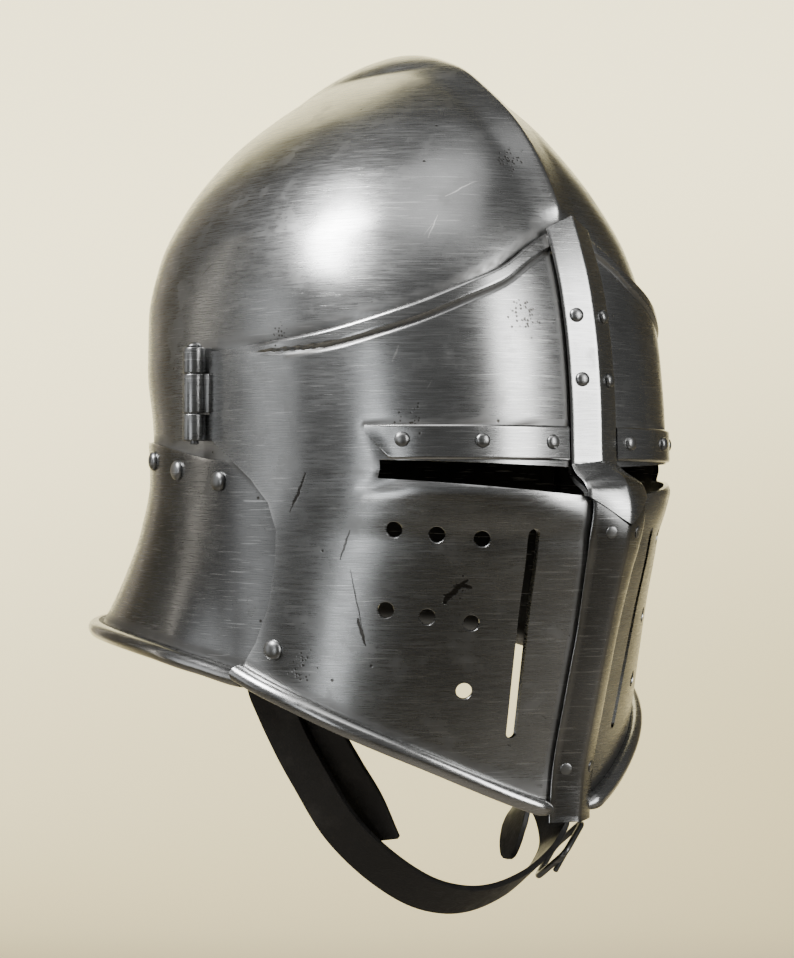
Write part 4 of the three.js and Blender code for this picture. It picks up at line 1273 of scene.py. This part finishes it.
for name, side in (("brow_band_right", -1), ("brow_band_left", 1)):
    piece = makeBrowBand(name + "_plate", side)
    paint(piece, "wear", bandWear)
    smoothShade(piece)
    dress(piece, bandSteel, "visor", "steel", name)
for piece, node, metal in ((makeNasalBand(), "nasal_band", bandSteel),
                           (makeChinStrip(), "chin_strip", shadedGuardSteel)):
    paint(piece, "wear", bandWear)
    smoothShade(piece)
    dress(piece, metal, "visor", "steel", node)
print("bands made")

bandLift = band["clearance"] + band["wall"]
for label, side in (("right", -1), ("left", 1)):
    for k, (turn, z) in enumerate(((13, 14.6), (31.3, 15), (49.8, 15.4))):
        name = f"brow_rivet_{label}_{k + 1}"
        head = makeRivet(name + "_head", visorPoint, side * math.radians(turn), z * mm,
                         bandLift - rivet["sunk"], rivet["radius"], rivet["height"])
        dress(head, rivetSteel, "visor", "steel", name)
    for k, (turn, z) in enumerate(((91, -1.5), (111, 3.6), (129, 8.3))):
        name = f"guard_rivet_{label}_{k + 1}"
        head = makeRivet(name + "_head", guardPoint, side * math.radians(turn), z * mm, 0,
                         rivet["largeRadius"], rivet["largeHeight"])
        dress(head, rivetSteel, "helmet", "steel", name)
    head = makeRivet(f"cheek_rivet_{label}_head", visorPoint, side * math.radians(73), -0.0735, 0,
                     rivet["largeRadius"], rivet["largeHeight"])
    dress(head, rivetSteel, "visor", "steel", f"cheek_rivet_{label}")
    for k, z in ((1, 0.068), (2, 0.041)):
        name = f"nasal_rivet_{label}_{k}"
        turn = side * math.asin(0.008 / visor["browHalf"])
        head = makeRivet(name + "_head", nasalSurface, turn, z, 0, rivet["radius"], rivet["height"])
        dress(head, rivetSteel, "visor", "steel", name)
    dress(makePin(f"hinge_pin_{label}_post", side), darkSteel, "helmet", "dark_steel", f"hinge_pin_{label}")
for label, side in (("right", -1), ("left", 1)):
    for k, z in ((1, -0.0222), (2, -0.1235)):
        turn = side * math.asin(0.0066 / visor["halfWidth"])
        head = makeRivet(f"strip_rivet_{label}_{k}", stripSurface, turn, z, -rivet["sunk"],
                         rivet["flushRadius"], rivet["flushHeight"])
        dress(head, rivetSteel, "visor", "steel")
print("rivets and pins made")

for name, route, width, pointed in (("chin_strap", "long", 1, True), ("short_strap", "short", 1, False),
                                    ("strap_tab", "tab", 0.85, False)):
    belt = makeStrap(name + "_leather", straps[route], straps["width"] * width, pointed)
    dress(belt, leather, "helmet", "leather", name)
ring, prong = makeBuckle()
dress(ring, darkSteel, "helmet", "dark_steel", "buckle_frame")
dress(prong, darkSteel, "helmet", "dark_steel", "buckle_prong")
for label in ("right", "left"):
    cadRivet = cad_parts[f"strap_rivet_{label}"]
    cadRivet.data.materials.clear()
    cadRivet.data.materials.append(darkSteel)
print("straps and buckle made")


# Studio

studio = {
    "azimuth": -41, "tilt": -0.45, "distance": 1.061, "lens": 85.3, "sensor": 36,
    "wall": 1.9, "floor": -0.42, "cream": (0.74, 0.68, 0.55), "near": (0.2, 0.185, 0.165), "glow": 3.0,
    "glowLight": (0.97, 0.87, 0.52), "glowDeep": (0.23, 0.185, 0.075), "worldStrength": 0.1,
    # softboxes: turn to the viewer's right of the camera, height angle, distance, width, height, power, tint
    "lights": [(-60, 46, 1.3, 0.36, 0.7, 5.4, (1, 1, 1)), (50, 14, 1.25, 0.42, 1.1, 2.0, (1, 1, 0.99)),
               (-34, -4, 1.4, 0.3, 0.7, 0.33, (0.94, 0.97, 1)),
               (-82, 0, 1.3, 0.4, 0.9, 0.16, (0.96, 0.98, 1)),
               (-108, 6, 1.2, 0.05, 1.2, 0.09, (1, 0.93, 0.82)),
               (-142, 10, 1.2, 0.05, 1.2, 0.05, (1, 0.9, 0.76)),
               (10, 66, 1.3, 1.0, 0.8, 0.6, (1, 1, 1))],
    "spread": 70,
}


def cameraAxes():
    turn = math.radians(-studio["azimuth"])
    tilt = math.radians(studio["tilt"])
    forward = Vector((math.sin(turn) * math.cos(tilt), math.cos(turn) * math.cos(tilt), -math.sin(tilt)))
    right = Vector((math.cos(turn), -math.sin(turn), 0))
    return forward, right, right.cross(forward)


def addCamera():
    forward, right, up = cameraAxes()
    deselectAll()
    bpy.ops.object.camera_add(location=forward * -studio["distance"])
    camera = bpy.context.object
    camera.rotation_euler = forward.to_track_quat("-Z", "Y").to_euler()
    camera.data.sensor_fit = "VERTICAL"
    camera.data.sensor_height = studio["sensor"]
    camera.data.lens = studio["lens"]
    camera.data.dof.use_dof = False
    bpy.context.scene.camera = camera


def addSoftbox(name, turn, rise, distance, width, height, power, tint):
    forward, right, up = cameraAxes()
    flat = Vector((-forward.x, -forward.y, 0)).normalized()
    turn, rise = math.radians(turn), math.radians(rise)
    away = (flat * math.cos(turn) + right * math.sin(turn)) * math.cos(rise)
    away += Vector((0, 0, 1)) * math.sin(rise)
    deselectAll()
    bpy.ops.object.light_add(type="AREA", location=away * distance)
    light = bpy.context.object
    light.name = name
    light.rotation_euler = (-away).to_track_quat("-Z", "Y").to_euler()
    light.data.shape = "RECTANGLE"
    light.data.size = width
    light.data.size_y = height
    light.data.energy = power
    light.data.color = tint
    light.data.spread = math.radians(studio["spread"])


def addBackdrop():
    forward, right, up = cameraAxes()
    flat = Vector((forward.x, forward.y, 0)).normalized()

    def form(across, share):
        low, back, bend = studio["floor"], studio["wall"], 0.8
        if share < 1:
            return right * across + flat * mix(-2.2, back - bend, share) + Vector((0, 0, low))
        if share < 2:
            angle = (share - 1) * math.pi / 2
            place = flat * (back - bend + bend * math.sin(angle))
            return right * across + place + Vector((0, 0, low + bend - bend * math.cos(angle)))
        return right * across + flat * back + Vector((0, 0, low + bend + (share - 2) * 2.2))

    rows = [0, 0.5, 0.999] + evenly(1, 2, 24) + [2.5, 3]
    sweep = formSheet("backdrop", [-3, 0, 3], rows, form)
    smoothShade(sweep, 60)
    material, tree, surface = newMaterial("backdrop_cream")
    place = addNode(tree, "ShaderNodeSeparateXYZ", {"Vector": placeNode(tree, (1, 1, 1))})
    surface.inputs["Roughness"].default_value = 0.9
    behind = plus(tree, times(tree, place.outputs["X"], flat.x), times(tree, place.outputs["Y"], flat.y))
    across = plus(tree, times(tree, place.outputs["X"], right.x), times(tree, place.outputs["Y"], right.y))
    # the backdrop glows though it is no lamp: painted light, brighter further back and fading at the sides,
    # its glow colour painted darker toward the bottom and to the right as painted shade
    corner = minus(tree, times(tree, across, 0.22), place.outputs["Z"])
    shadedGlow = mixColour(tree, rampNode(tree, corner, -0.5, 0.75), studio["glowLight"], studio["glowDeep"])
    tree.links.new(shadedGlow, surface.inputs["Emission Color"])
    pale = mixColour(tree, rampNode(tree, behind, 0.1, 1.1), studio["near"], studio["cream"])
    tree.links.new(pale, surface.inputs["Base Color"])
    glow = times(tree, rampNode(tree, behind, 0.6, 1.5), studio["glow"])
    apart = rampNode(tree, mathNode(tree, "ABSOLUTE", across), 0.75, 1.0)
    glow = times(tree, glow, minus(tree, 1.0, apart))
    tree.links.new(glow, surface.inputs["Emission Strength"])
    sweep.data.materials.append(material)


addCamera()
addBackdrop()
for k, row in enumerate(studio["lights"]):
    addSoftbox(f"softbox_{k + 1}", *row)
world = bpy.data.worlds.new("studio")
world.use_nodes = True
bpy.context.scene.world = world
world.node_tree.nodes["Background"].inputs["Color"].default_value = (0.9, 0.9, 0.88, 1)
world.node_tree.nodes["Background"].inputs["Strength"].default_value = studio["worldStrength"]
print("studio made")

bpy.context.view_layer.update()
